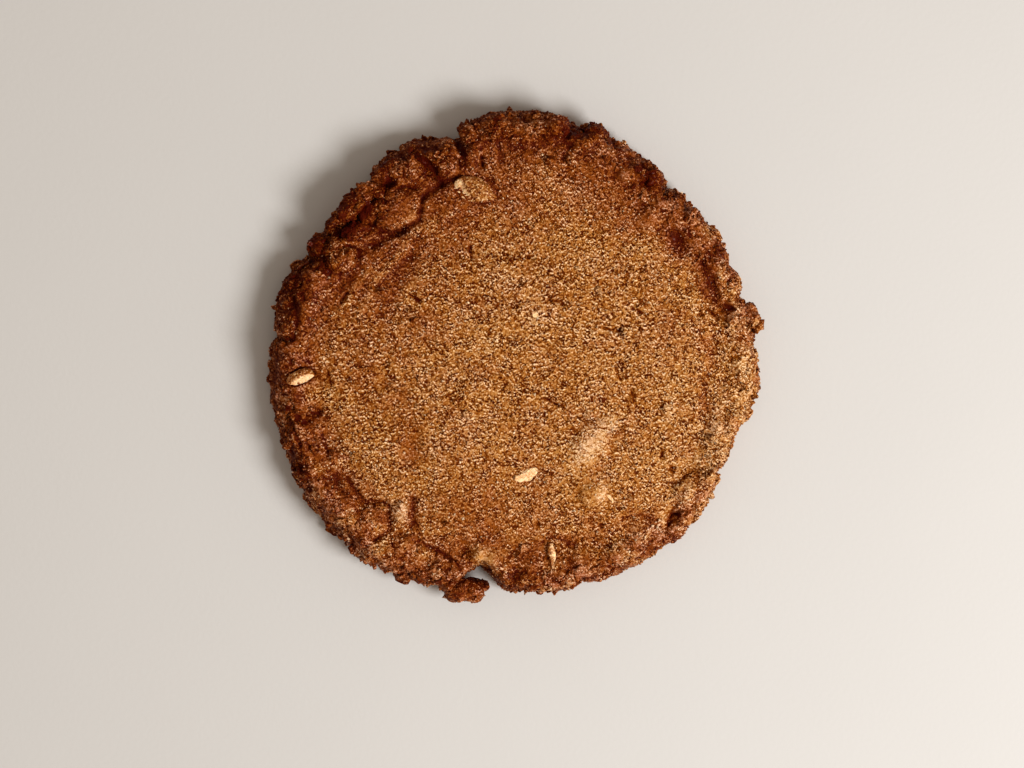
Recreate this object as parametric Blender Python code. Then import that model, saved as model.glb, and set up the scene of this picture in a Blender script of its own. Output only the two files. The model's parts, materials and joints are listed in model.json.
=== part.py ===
"""A large round cashew cookie, lying flat with its crackled face up.

It is one baked piece: a thin disc with a nearly level face, a shallow hollow all round
inside a lumpy raised rim, and a broken side that spreads towards the flat underside.
Chopped cashews are sunk in the face, and one crumb hangs off the front edge by its end.
+Z is up, +X is to the right of the shown face and +Y is towards its back edge.
"""

import math

import bmesh
import bpy
from mathutils import Matrix, Vector, noise

MM = 0.001

# The turned form: how far in from the outline, and how high
RADIUS = 51.0 * MM
MIDDLE_HEIGHT = 11.0 * MM
FACE_HEIGHT = 10.5 * MM
HOLLOW_INSET, HOLLOW_HEIGHT = 8.6 * MM, 9.7 * MM
RIM_INSET, RIM_HEIGHT = 4.4 * MM, 10.5 * MM
SHOULDER_INSET, SHOULDER_HEIGHT = 1.6 * MM, 9.0 * MM
WAIST_INSET, WAIST_HEIGHT = 0.5 * MM, 6.2 * MM
SKIRT_HEIGHT = 3.2 * MM
FOOT_INSET, FOOT_HEIGHT = 0.4 * MM, 1.0 * MM
BASE_INSET = 1.5 * MM

# How finely the form is turned before it is thinned
PROFILE_STEP = 1.0 * MM
COLUMNS = 300
TRIANGLES = 9600

# Swells, pinches and bites of the outline: at how many degrees, how many wide, how far out
OUTLINE_SWELLS = (
    (222, 38, 3.9 * MM),
    (180, 15, 0.7 * MM),
    (309, 20, 1.8 * MM),
    (352, 7, 1.7 * MM),
    (8, 8, 0.5 * MM),
    (44, 26, -2.4 * MM),
    (72, 4, 0.8 * MM),
    (88, 11, 0.6 * MM),
    (106, 3.4, -3.0 * MM),
    (113, 5, -1.2 * MM),
    (132, 6, -2.6 * MM),
    (148, 9, -1.9 * MM),
    (164, 5, 0.8 * MM),
    (281, 3, 0.4 * MM),
    (292, 4, 0.3 * MM),
    (338, 6, -1.0 * MM),
)
HANGING_BITE = (260.5, 5.2, -5.6 * MM)
NICKS = (
    (42, 1.5, -1.0 * MM),
    (61, 1.6, -0.4 * MM),
    (75, 1.6, -1.2 * MM),
    (14, 1.6, -1.2 * MM),
    (120.5, 1.3, -1.0 * MM),
    (139, 1.4, -0.6 * MM),
    (155, 1.6, -0.8 * MM),
    (175.5, 1.5, -1.0 * MM),
    (285, 1.4, -0.9 * MM),
    (329, 2.0, -1.2 * MM),
)

# Dough relief: the broad heave of the face, and the clods and crumbs that it broke into
HEAVE, HEAVE_SIZE = 0.45 * MM, 17 * MM
CLOD_SIZE = 5.2 * MM
CRUMB_SIZE = 2.6 * MM
FACE_CLODS, RIM_CLODS = 0.25 * MM, 1.5 * MM
CRUMB_SHARE = 0.45
CRAGS_START, CRAGS_FULL = 0.80, 0.95
WARP = 0.35
CLOD_EDGE = 0.8

# Raised clods of the face: x, y, half length, half width, turn in degrees, height
CLODS = (
    (-34.2 * MM, 31.8 * MM, 7.2 * MM, 2.3 * MM, 44, 1.5 * MM),
    (-26.0 * MM, 30.0 * MM, 5.2 * MM, 4.2 * MM, 25, 0.9 * MM),
    (-37.2 * MM, 19.8 * MM, 3.7 * MM, 2.5 * MM, 30, 0.9 * MM),
    (-34.5 * MM, 26.0 * MM, 2.6 * MM, 1.6 * MM, 20, 0.8 * MM),
    (-14.9 * MM, 39.0 * MM, 2.6 * MM, 2.3 * MM, 40, 0.9 * MM),
    (-27.5 * MM, 38.5 * MM, 3.4 * MM, 2.2 * MM, 30, 1.0 * MM),
    (7.9 * MM, 48.4 * MM, 3.0 * MM, 2.5 * MM, 0, 1.3 * MM),
    (-5.5 * MM, 47.0 * MM, 3.4 * MM, 2.6 * MM, 10, 1.0 * MM),
    (23.2 * MM, 37.6 * MM, 2.3 * MM, 2.0 * MM, 0, 0.8 * MM),
    (31.8 * MM, 39.2 * MM, 2.6 * MM, 1.9 * MM, -40, 1.2 * MM),
    (27.8 * MM, 28.2 * MM, 3.2 * MM, 3.4 * MM, 0, 1.0 * MM),
    (37.5 * MM, 29.5 * MM, 3.4 * MM, 2.2 * MM, -50, 0.9 * MM),
    (47.4 * MM, -4.6 * MM, 2.6 * MM, 3.4 * MM, 0, 1.1 * MM),
    (46.4 * MM, 8.0 * MM, 2.2 * MM, 3.6 * MM, 10, 0.9 * MM),
    (16.0 * MM, -19.0 * MM, 7.4 * MM, 4.4 * MM, 46, 1.1 * MM),
    (15.7 * MM, -30.8 * MM, 3.4 * MM, 3.2 * MM, 0, 1.2 * MM),
    (-39.0 * MM, -22.4 * MM, 2.5 * MM, 2.2 * MM, 0, 0.9 * MM),
    (-37.4 * MM, -32.0 * MM, 3.9 * MM, 3.0 * MM, -20, 0.9 * MM),
    (-31.2 * MM, -35.2 * MM, 3.2 * MM, 2.5 * MM, -30, 0.8 * MM),
    (-25.2 * MM, -33.8 * MM, 2.1 * MM, 2.8 * MM, 0, 1.0 * MM),
    (-24.2 * MM, -41.2 * MM, 3.3 * MM, 3.0 * MM, 0, 0.9 * MM),
    (-7.2 * MM, -43.6 * MM, 3.0 * MM, 2.4 * MM, 0, 0.7 * MM),
    (22.0 * MM, -43.0 * MM, 3.8 * MM, 2.6 * MM, 20, 0.9 * MM),
    (36.0 * MM, -30.0 * MM, 2.8 * MM, 3.6 * MM, -35, 0.9 * MM),
)

# Hollows of the face: x, y, half length, half width, turn in degrees, depth
HOLLOWS = (
    (-23.0 * MM, -19.8 * MM, 2.4 * MM, 5.4 * MM, 0, 0.6 * MM),
    (33.6 * MM, -36.6 * MM, 1.5 * MM, 2.8 * MM, -10, 2.6 * MM),
    (28.4 * MM, 36.2 * MM, 2.8 * MM, 1.8 * MM, 20, 1.7 * MM),
    (34.2 * MM, 23.4 * MM, 2.2 * MM, 2.9 * MM, 0, 0.9 * MM),
    (42.0 * MM, 21.3 * MM, 2.5 * MM, 2.2 * MM, 0, 1.0 * MM),
    (-39.2 * MM, -26.6 * MM, 2.6 * MM, 1.5 * MM, 10, 1.1 * MM),
    (-11.5 * MM, -42.4 * MM, 1.4 * MM, 3.4 * MM, 20, 1.1 * MM),
    (1.0 * MM, 44.0 * MM, 8.0 * MM, 1.8 * MM, 0, 1.0 * MM),
)

# Crevices of the face: half width, depth, and the points they run through
CREVICES = (
    (1.3 * MM, 1.6 * MM, ((-37.6, 25.6), (-33.6, 29.0), (-30.0, 33.6), (-27.4, 36.4))),
    (1.1 * MM, 0.9 * MM, ((-25.6, 25.8), (-21.2, 28.4), (-20.6, 33.0))),
    (1.4 * MM, 0.8 * MM, ((-29.3, 8.8), (-26.6, 14.0), (-25.0, 17.9), (-19.6, 22.9))),
    (1.1 * MM, 1.1 * MM, ((-20.0, 33.6), (-16.6, 36.0), (-12.6, 37.2))),
    (1.4 * MM, 1.0 * MM, ((40.6, 2.0), (42.0, -3.0), (39.8, -7.0), (40.4, -12.7))),
    (1.2 * MM, 0.9 * MM, ((39.2, 19.2), (41.4, 15.0), (42.3, 11.0))),
    (1.0 * MM, 1.1 * MM, ((-48.5, -11.5), (-45.8, -14.2), (-42.7, -12.3))),
    (1.0 * MM, 0.9 * MM, ((-22.7, -31.0), (-22.7, -36.6))),
    (1.0 * MM, 1.1 * MM, ((5.2, -41.0), (6.8, -39.4), (9.2, -40.0), (11.8, -41.8))),
    (1.0 * MM, 0.8 * MM, ((19.6, -17.0), (19.8, -23.5), (16.4, -26.0))),
    (1.0 * MM, 1.2 * MM, ((-3.4, 48.0), (-4.2, 44.0), (-3.6, 40.6))),
    (1.0 * MM, 1.2 * MM, ((10.0, 47.0), (10.4, 43.6), (9.8, 41.0))),
)

# Chopped cashews: x, y, height of the middle, length, width, thickness, turn, tip
CASHEWS = (
    (-9.6 * MM, 34.2 * MM, 10.9 * MM, 8.8 * MM, 4.4 * MM, 3.6 * MM, -16, 8),
    (-45.9 * MM, -4.4 * MM, 10.5 * MM, 6.4 * MM, 3.4 * MM, 3.0 * MM, 26, -12),
    (1.3 * MM, -26.6 * MM, 10.9 * MM, 5.8 * MM, 3.6 * MM, 3.4 * MM, 12, 10),
    (7.4 * MM, -44.2 * MM, 10.2 * MM, 6.8 * MM, 2.4 * MM, 2.6 * MM, 84, 0),
    (19.4 * MM, -30.0 * MM, 11.1 * MM, 2.8 * MM, 1.6 * MM, 2.2 * MM, 70, 0),
    (2.8 * MM, 8.6 * MM, 11.0 * MM, 3.4 * MM, 2.2 * MM, 2.0 * MM, -40, 0),
    (7.6 * MM, 49.5 * MM, 10.6 * MM, 3.0 * MM, 1.8 * MM, 2.0 * MM, 0, 0),
)
CASHEW_BEND = 0.28
CASHEW_CUT = 0.62

# The crumb that hangs off the front edge, and knobs of the side: x, y, z, half sizes
HANGING_CRUMB = (
    (-14.8 * MM, -48.4 * MM, 5.2 * MM, 2.8 * MM, 3.0 * MM, 3.8 * MM),
    (-13.2 * MM, -51.0 * MM, 5.0 * MM, 3.2 * MM, 2.8 * MM, 3.6 * MM),
    (-10.0 * MM, -51.6 * MM, 4.8 * MM, 3.4 * MM, 2.4 * MM, 3.2 * MM),
    (-8.0 * MM, -50.7 * MM, 5.2 * MM, 2.2 * MM, 1.3 * MM, 2.4 * MM),
)
KNOBS = (
    (30.4 * MM, 38.4 * MM, 7.6 * MM, 2.2 * MM, 1.8 * MM, 2.2 * MM),
    (-11.2 * MM, 46.9 * MM, 7.4 * MM, 2.4 * MM, 2.2 * MM, 2.8 * MM),
    (-4.0 * MM, 49.0 * MM, 7.6 * MM, 3.6 * MM, 2.0 * MM, 2.8 * MM),
    (15.8 * MM, 47.2 * MM, 7.2 * MM, 2.6 * MM, 1.8 * MM, 2.6 * MM),
    (-30.6 * MM, 35.4 * MM, 6.8 * MM, 2.8 * MM, 2.4 * MM, 3.0 * MM),
    (-42.8 * MM, 23.0 * MM, 6.2 * MM, 2.6 * MM, 2.6 * MM, 3.0 * MM),
    (-49.4 * MM, 7.0 * MM, 5.8 * MM, 2.2 * MM, 3.4 * MM, 3.2 * MM),
    (49.6 * MM, 7.6 * MM, 6.0 * MM, 2.2 * MM, 2.8 * MM, 3.0 * MM),
    (34.0 * MM, -37.0 * MM, 6.2 * MM, 2.8 * MM, 2.6 * MM, 3.0 * MM),
    (-36.4 * MM, -36.2 * MM, 5.4 * MM, 3.0 * MM, 2.8 * MM, 2.8 * MM),
)
KNOB_ROUGHNESS, KNOB_GRAIN = 0.45, 2.2 * MM

# What lies this close to the lowest point is levelled with it
FLATTENED = 0.12 * MM

DOUGH_COLOUR = (0.30, 0.13, 0.045, 1.0)
DOUGH_ROUGHNESS = 0.62


def smoothstep(low, high, value):
    share = min(max((value - low) / (high - low), 0.0), 1.0)
    return share * share * (3 - 2 * share)


def profile():
    """The turned form's side line, from the crown to the middle of the underside."""
    corners = [
        (RADIUS, MIDDLE_HEIGHT),
        (RADIUS * 0.75, MIDDLE_HEIGHT),
        (RADIUS * 0.42, FACE_HEIGHT),
        (HOLLOW_INSET * 1.5, FACE_HEIGHT - 0.2 * MM),
        (HOLLOW_INSET, HOLLOW_HEIGHT),
        (RIM_INSET, RIM_HEIGHT),
        (RIM_INSET * 0.6, RIM_HEIGHT - 0.2 * MM),
        (SHOULDER_INSET, SHOULDER_HEIGHT),
        (WAIST_INSET, WAIST_HEIGHT),
        (0.0, SKIRT_HEIGHT),
        (FOOT_INSET, FOOT_HEIGHT),
        (BASE_INSET, 0.0),
    ]
    points = [Vector((RADIUS - inset, 0, height)) for inset, height in corners]
    line = smooth_line(points, PROFILE_STEP)
    rings = round(line[-1].x / (2 * PROFILE_STEP))
    underside = [Vector((line[-1].x * (1 - k / rings), 0, 0)) for k in range(1, rings + 1)]
    return line + underside


def smooth_line(points, step):
    """A Catmull-Rom line through the points, with one point about every step."""
    padded = [2 * points[0] - points[1], *points, 2 * points[-1] - points[-2]]
    line = []
    for a, b, c, d in zip(padded, padded[1:], padded[2:], padded[3:]):
        pieces = max(1, round((c - b).length / step))
        for k in range(pieces):
            t = k / pieces
            bend = (2 * a - 5 * b + 4 * c - d) * t + (3 * b - a - 3 * c + d) * t * t
            line.append(b + ((c - a) + bend) * t / 2)
    return [*line, points[-1]]


def outline(angle):
    """How far the cookie reaches at this angle, against the mean radius."""
    reach = RADIUS
    for at, half_width, out in (*OUTLINE_SWELLS, *NICKS, HANGING_BITE):
        away = (math.degrees(angle) - at + 180) % 360 - 180
        reach += out * math.exp(-((away / half_width) ** 2))
    return reach / RADIUS


def domes(point, size):
    """Rounded clods with creases between them: 1 on a clod's top, 0 at its far edge."""
    bent = point / size
    bent = bent + WARP * noise.noise_vector(bent * 0.7)
    nearest = noise.voronoi(bent)[0][0]
    return max(0.0, 1 - nearest * nearest)


def across(x, y, spot):
    """How far out of a spot's oval a place is: 0 in its middle, 1 on its edge."""
    at_x, at_y, half_length, half_width, turn, _ = spot
    c, s = math.cos(math.radians(turn)), math.sin(math.radians(turn))
    along = ((x - at_x) * c + (y - at_y) * s) / half_length
    over = ((y - at_y) * c - (x - at_x) * s) / half_width
    return along * along + over * over


def off_line(place, corners):
    """The distance from a place to a line through the corners, given in millimetres."""
    nearest = math.inf
    for (ax, ay), (bx, by) in zip(corners, corners[1:]):
        start, run = Vector((ax, ay)) * MM, Vector((bx - ax, by - ay)) * MM
        share = min(max((place - start).dot(run) / run.length_squared, 0.0), 1.0)
        nearest = min(nearest, (place - start - share * run).length)
    return nearest


def face_marks(x, y):
    """The clods, hollows and crevices that lie at known places on the face."""
    height = 0.0
    for spot in CLODS:
        height += spot[-1] * smoothstep(0.0, CLOD_EDGE, 1 - across(x, y, spot))
    for spot in HOLLOWS:
        height -= spot[-1] * math.exp(-across(x, y, spot))
    place = Vector((x, y))
    for half_width, depth, corners in CREVICES:
        height -= depth * math.exp(-((off_line(place, corners) / half_width) ** 2))
    return height


def relief(point, share, facing_up):
    """How far the dough stands out of the turned form at this point."""
    craggy = smoothstep(CRAGS_START, CRAGS_FULL, share)
    clods = domes(point, CLOD_SIZE) - 0.6
    crumbs = CRUMB_SHARE * (domes(point, CRUMB_SIZE) - 0.6)
    out = (FACE_CLODS + craggy * (RIM_CLODS - FACE_CLODS)) * (clods + crumbs)
    out += HEAVE * noise.noise(point / HEAVE_SIZE)
    return out + max(facing_up, 0.0) * face_marks(point.x, point.y)


def turned_dough():
    """The disc itself: a turned form pushed out to the outline, then raised by relief."""
    bm = bmesh.new()
    line = [bm.verts.new(point) for point in profile()]
    sides = [bm.edges.new(pair) for pair in zip(line, line[1:])]
    bmesh.ops.spin(
        bm, geom=line + sides, axis=(0, 0, 1), cent=(0, 0, 0), angle=math.tau,
        steps=COLUMNS, use_merge=True,
    )
    bmesh.ops.remove_doubles(bm, verts=bm.verts, dist=0.01 * MM)
    bmesh.ops.recalc_face_normals(bm, faces=bm.faces)
    bm.normal_update()
    moves = []
    for vert in bm.verts:
        share = math.hypot(vert.co.x, vert.co.y) / RADIUS
        reach = outline(math.atan2(vert.co.y, vert.co.x))
        place = Vector((vert.co.x * reach, vert.co.y * reach, vert.co.z))
        lifted = smoothstep(0.1 * MM, 1.6 * MM, vert.co.z)
        moves.append(place + vert.normal * relief(place, share, vert.normal.z) * lifted)
    for vert, place in zip(bm.verts, moves):
        vert.co = place
    return as_object(bm, "cookie")


def knob(name, x, y, z, half_x, half_y, half_z):
    """A rough round lump of dough."""
    bm = bmesh.new()
    bmesh.ops.create_icosphere(bm, subdivisions=2, radius=1.0)
    middle = Vector((x, y, z))
    for vert in bm.verts:
        place = Vector((vert.co.x * half_x, vert.co.y * half_y, vert.co.z * half_z))
        swell = 1 + KNOB_ROUGHNESS * noise.noise((middle + place) / KNOB_GRAIN)
        vert.co = middle + place * swell
    return as_object(bm, name)


def cashew(name, x, y, z, length, width, thickness, turn, tip):
    """A chopped cashew: half of a bent kernel, with one flat broken end."""
    bm = bmesh.new()
    bmesh.ops.create_icosphere(bm, subdivisions=2, radius=0.5)
    broken = bmesh.ops.bisect_plane(
        bm, geom=bm.verts[:] + bm.edges[:] + bm.faces[:],
        plane_co=(-0.5 * CASHEW_CUT, 0, 0), plane_no=(-1, 0.25, 0.3), clear_outer=True,
    )
    rim = [item for item in broken["geom_cut"] if isinstance(item, bmesh.types.BMEdge)]
    bmesh.ops.edgeloop_fill(bm, edges=rim)
    bmesh.ops.triangulate(bm, faces=bm.faces)
    bmesh.ops.recalc_face_normals(bm, faces=bm.faces)
    stance = (
        Matrix.Translation((x, y, z))
        @ Matrix.Rotation(math.radians(turn), 4, "Z")
        @ Matrix.Rotation(math.radians(tip), 4, "Y")
    )
    for vert in bm.verts:
        bent = vert.co.y + CASHEW_BEND * (0.25 - 4 * vert.co.x * vert.co.x * 0.25)
        vert.co = stance @ Vector((vert.co.x * length, bent * width, vert.co.z * thickness))
    return as_object(bm, name)


def as_object(bm, name):
    mesh = bpy.data.meshes.new(name)
    bm.to_mesh(mesh)
    bm.free()
    made = bpy.data.objects.new(name, mesh)
    bpy.context.scene.collection.objects.link(made)
    return made


def apply_modifiers(made):
    """Keeps what the modifiers make of the mesh, and drops the modifiers."""
    graph = bpy.context.evaluated_depsgraph_get()
    mesh = bpy.data.meshes.new_from_object(made.evaluated_get(graph))
    made.modifiers.clear()
    made.data = mesh


def fuse(body, pieces):
    """Joins the pieces to the body as one solid."""
    bits = bpy.data.collections.new("bits")
    bpy.context.scene.collection.children.link(bits)
    for piece in pieces:
        bpy.context.scene.collection.objects.unlink(piece)
        bits.objects.link(piece)
    join = body.modifiers.new("join", "BOOLEAN")
    join.operation = "UNION"
    join.operand_type = "COLLECTION"
    join.collection = bits
    join.solver = "EXACT"
    apply_modifiers(body)
    for piece in pieces:
        bpy.data.objects.remove(piece)
    bpy.data.collections.remove(bits)


def thin(body):
    """Keeps triangles where the form bends, and few on the level underside."""
    faces = sum(len(face.vertices) - 2 for face in body.data.polygons)
    fewer = body.modifiers.new("thin", "DECIMATE")
    fewer.ratio = min(1.0, TRIANGLES / faces)
    fewer.use_collapse_triangulate = True
    apply_modifiers(body)


def set_down(body):
    """Levels the underside at z = 0 and centres the outline's box on the origin."""
    points = [vert.co for vert in body.data.vertices]
    lowest = min(point.z for point in points)
    middle_x = (min(point.x for point in points) + max(point.x for point in points)) / 2
    middle_y = (min(point.y for point in points) + max(point.y for point in points)) / 2
    for vert in body.data.vertices:
        height = vert.co.z - lowest
        level = 0.0 if height < FLATTENED else height
        vert.co = (vert.co.x - middle_x, vert.co.y - middle_y, level)


def dough_material():
    material = bpy.data.materials.new("baked dough")
    material.use_nodes = True
    shader = material.node_tree.nodes["Principled BSDF"]
    shader.inputs["Base Color"].default_value = DOUGH_COLOUR
    shader.inputs["Roughness"].default_value = DOUGH_ROUGHNESS
    shader.inputs["Metallic"].default_value = 0.0
    return material


def main():
    for left_over in list(bpy.data.objects):
        bpy.data.objects.remove(left_over)
    body = turned_dough()
    pieces = [
        knob(f"knob_{k}", *sizes) for k, sizes in enumerate((*HANGING_CRUMB, *KNOBS))
    ]
    pieces += [cashew(f"cashew_{k}", *sizes) for k, sizes in enumerate(CASHEWS)]
    thin(body)
    fuse(body, pieces)
    set_down(body)
    body.data.materials.clear()
    body.data.materials.append(dough_material())
    body.data.shade_smooth()
    body.data.set_sharp_from_angle(angle=math.radians(50))


main()
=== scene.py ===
import itertools
import json
import math

import bmesh
import bpy
import numpy as np
from bpy.props import FloatProperty, FloatVectorProperty, IntProperty, PointerProperty
from mathutils import Matrix, Vector, noise

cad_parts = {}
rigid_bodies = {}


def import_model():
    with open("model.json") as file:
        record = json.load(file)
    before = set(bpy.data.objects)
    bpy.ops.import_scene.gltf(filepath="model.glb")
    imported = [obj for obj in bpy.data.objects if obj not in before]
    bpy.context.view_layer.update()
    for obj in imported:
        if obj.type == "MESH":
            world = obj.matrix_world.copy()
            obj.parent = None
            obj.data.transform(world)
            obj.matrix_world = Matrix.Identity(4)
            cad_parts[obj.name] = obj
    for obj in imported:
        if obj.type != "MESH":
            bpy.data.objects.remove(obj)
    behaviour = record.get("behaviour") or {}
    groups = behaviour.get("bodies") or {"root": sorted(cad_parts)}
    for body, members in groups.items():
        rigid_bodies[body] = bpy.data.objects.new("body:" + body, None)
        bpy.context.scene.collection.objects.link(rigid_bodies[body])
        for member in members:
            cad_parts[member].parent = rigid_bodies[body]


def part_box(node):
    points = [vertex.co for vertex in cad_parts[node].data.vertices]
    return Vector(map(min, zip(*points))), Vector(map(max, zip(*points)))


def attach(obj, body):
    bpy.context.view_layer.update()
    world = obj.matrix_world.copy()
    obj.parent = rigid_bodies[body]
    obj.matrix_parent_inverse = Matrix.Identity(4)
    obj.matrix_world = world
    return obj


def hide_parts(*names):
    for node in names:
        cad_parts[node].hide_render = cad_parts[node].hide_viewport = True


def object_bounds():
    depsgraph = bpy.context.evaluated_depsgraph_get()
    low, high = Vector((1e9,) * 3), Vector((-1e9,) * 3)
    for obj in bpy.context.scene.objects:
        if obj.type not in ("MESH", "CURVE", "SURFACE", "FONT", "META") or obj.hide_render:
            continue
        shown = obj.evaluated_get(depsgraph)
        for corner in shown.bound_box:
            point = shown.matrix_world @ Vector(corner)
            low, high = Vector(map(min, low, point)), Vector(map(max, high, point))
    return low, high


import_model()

bl_info = {
    "name": "Cashew Cookie",
    "version": (1, 0, 0),
    "blender": (4, 5, 0),
    "location": "3D View > Sidebar > Cookie",
    "description": "Bakes the looks of a large round cashew cookie onto its packed solid",
    "category": "Object",
}

CAD_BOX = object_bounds()
NODE, BODY = "cookie", "root"
MM = 0.001

# The tables are in millimetres. These columns of each kind of row are lengths
SWELL, GROOVE, PATCH, SPOT, LUMP = (2,), (0, 1), (0, 1, 2, 3), (0, 1, 2, 3, 5), (0, 1, 2, 3, 4, 5)


def in_metres(lengths, rows):
    """The rows of a table, with the lengths among their values turned into metres."""
    return [tuple(value * MM if k in lengths else value for k, value in enumerate(row)) for row in rows]


# The turned form of the dough, as in the solid: how far in from the outline, how high
RADIUS = 51.0 * MM
MIDDLE_HEIGHT = 11.0 * MM
FACE_HEIGHT = 10.5 * MM
HOLLOW_INSET, HOLLOW_HEIGHT = 8.6 * MM, 9.7 * MM
RIM_INSET, RIM_HEIGHT = 4.4 * MM, 10.5 * MM
SHOULDER_INSET, SHOULDER_HEIGHT = 1.6 * MM, 9.0 * MM
WAIST_INSET, WAIST_HEIGHT = 0.5 * MM, 6.2 * MM
SKIRT_HEIGHT = 3.2 * MM
FOOT_INSET, FOOT_HEIGHT = 0.4 * MM, 1.0 * MM
BASE_INSET = 1.5 * MM

# Swells, pinches and bites of the outline: at how many degrees, how many wide, how far out
OUTLINE_SWELLS = in_metres(SWELL, (
    (222, 38, 3.9), (180, 15, 0.7), (309, 20, 1.8), (352, 7, 1.7), (8, 8, 0.5), (44, 26, -2.4),
    (72, 4, 0.8), (88, 11, 0.6), (106, 3.4, -3), (113, 5, -1.2), (132, 6, -2.6), (148, 9, -1.9),
    (164, 5, 0.8), (281, 3, 0.4), (292, 4, 0.3), (338, 6, -1),
))
HANGING_BITE = (259.3, 5.1, -6.0 * MM)
NOTCH_CLEAR = (4.5, 7.5)
NICKS = in_metres(SWELL, (
    (42, 1.5, -1), (61, 1.6, -0.4), (75, 1.6, -1.2), (14, 1.6, -1.2), (1, 5, -0.7), (8.5, 2, -1.2),
    (22.5, 2.2, -1.1), (48, 1.5, -1.6), (69, 3, -0.7), (77.5, 1.8, -1), (105, 1.5, -0.7),
    (153, 1.6, -0.9), (234, 3, 0.6), (272, 4, -0.7), (304.5, 3, -0.8), (348, 2.2, -1.3),
    (120.5, 1.3, -1), (139, 1.4, -0.6), (155, 1.6, -0.8), (175.5, 1.5, -1), (285, 1.4, -0.9),
    (329, 2, -1.2),
))

# The dough relief that the solid has
HEAVE, HEAVE_SIZE = 0.45 * MM, 17 * MM
CLOD_SIZE = 5.2 * MM
CRUMB_SIZE = 2.6 * MM
FACE_CLODS, RIM_CLODS = 0.25 * MM, 1.5 * MM
CRUMB_SHARE = 0.45
CRAGS_START, CRAGS_FULL = 0.80, 0.95
CLOD_LEVEL = 0.6
WARP, WARP_DETAIL = 0.35, 0.7
CLOD_EDGE = 1.0

# How far the marks of the face lie from the places listed here
MARKS_ASIDE = (-0.85 * MM, 0.80 * MM)

# Raised clods of the face: x, y, half length, half width, turn in degrees, height
CLODS = in_metres(SPOT, (
    (-34.2, 31.8, 7.2, 2.3, 44, 1.5), (-26, 30, 5.2, 4.2, 25, 0.9), (-37.2, 19.8, 3.7, 2.5, 30, 0.9),
    (-34.5, 26, 2.6, 1.6, 20, 0.8), (-14.9, 39, 2.6, 2.3, 40, 0.9), (-27.5, 38.5, 3.4, 2.2, 30, 1),
    (7.9, 48.4, 3, 2.5, 0, 1.3), (-5.5, 47, 3.4, 2.6, 10, 1), (23.2, 37.6, 2.3, 2, 0, 0.8),
    (31.8, 39.2, 2.6, 1.9, -40, 1.2), (27.8, 28.2, 3.2, 3.4, 0, 1), (37.5, 29.5, 3.4, 2.2, -50, 0.9),
    (47.4, -4.6, 2.6, 3.4, 0, 0.6), (46.4, 8, 2.2, 3.6, 10, 0.6), (16, -19, 7.4, 4.4, 46, 1.1),
    (15.7, -30.8, 3.4, 3.2, 0, 1.2), (-39, -22.4, 2.5, 2.2, 0, 0.9), (-37.4, -32, 3.9, 3, -20, 0.9),
    (-31.2, -35.2, 3.2, 2.5, -30, 0.8), (-25.2, -33.8, 2.1, 2.8, 0, 1),
    (-24.2, -41.2, 3.3, 3, 0, 0.9), (-7.2, -43.6, 3, 2.4, 0, 0.7), (22, -43, 3.8, 2.6, 20, 0.9),
    (36, -30, 2.8, 3.6, -35, 0.9),
))

# Hollows of the face: x, y, half length, half width, turn in degrees, depth
HOLLOWS = in_metres(SPOT, (
    (-23, -19.8, 2.4, 5.4, 0, 0.6), (33.6, -36.6, 1.5, 2.8, -10, 2.6), (28.4, 36.2, 2.8, 1.8, 20, 1.7),
    (34.2, 23.4, 2.2, 2.9, 0, 0.9), (42, 21.3, 2.5, 2.2, 0, 1), (-39.2, -26.6, 2.6, 1.5, 10, 1.1),
    (-11.5, -42.4, 1.4, 3.4, 20, 1.1), (1, 44, 8, 1.8, 0, 1),
))

# Crevices of the face: half width, depth, and the points they run through, in millimetres
CREVICES = in_metres(GROOVE, (
    (0.9, 1.3, ((-37.6, 25.6), (-33.6, 29), (-30, 33.6), (-27.4, 36.4))),
    (0.7, 0.8, ((-25.6, 25.8), (-21.2, 28.4), (-20.6, 33))),
    (2, 0.4, ((-29.3, 8.8), (-26.6, 14), (-25, 17.9), (-19.6, 22.9))),
    (1.3, 0.4, ((-25.6, 16.6), (-22.6, 20.4))), (0.8, 0.8, ((-20, 33.6), (-16.6, 36), (-12.6, 37.2))),
    (1.4, 0.5, ((40.6, 2), (42, -3), (39.8, -7), (40.4, -12.7))),
    (1.2, 0.9, ((39.2, 19.2), (41.4, 15), (42.3, 11))),
    (1, 1.1, ((-48.5, -11.5), (-45.8, -14.2), (-42.7, -12.3))),
    (1, 0.9, ((-22.7, -31), (-22.7, -36.6))),
    (0.7, 0.4, ((5.2, -41), (6.8, -39.4), (9.2, -40), (11.8, -41.8))),
    (1, 0.3, ((19.6, -17), (19.8, -23.5), (16.4, -26))),
    (0.8, 0.5, ((-3.4, 48), (-4.2, 44), (-3.6, 40.6))),
    (0.8, 0.5, ((10, 47), (10.4, 43.6), (9.8, 41))),
))

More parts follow.
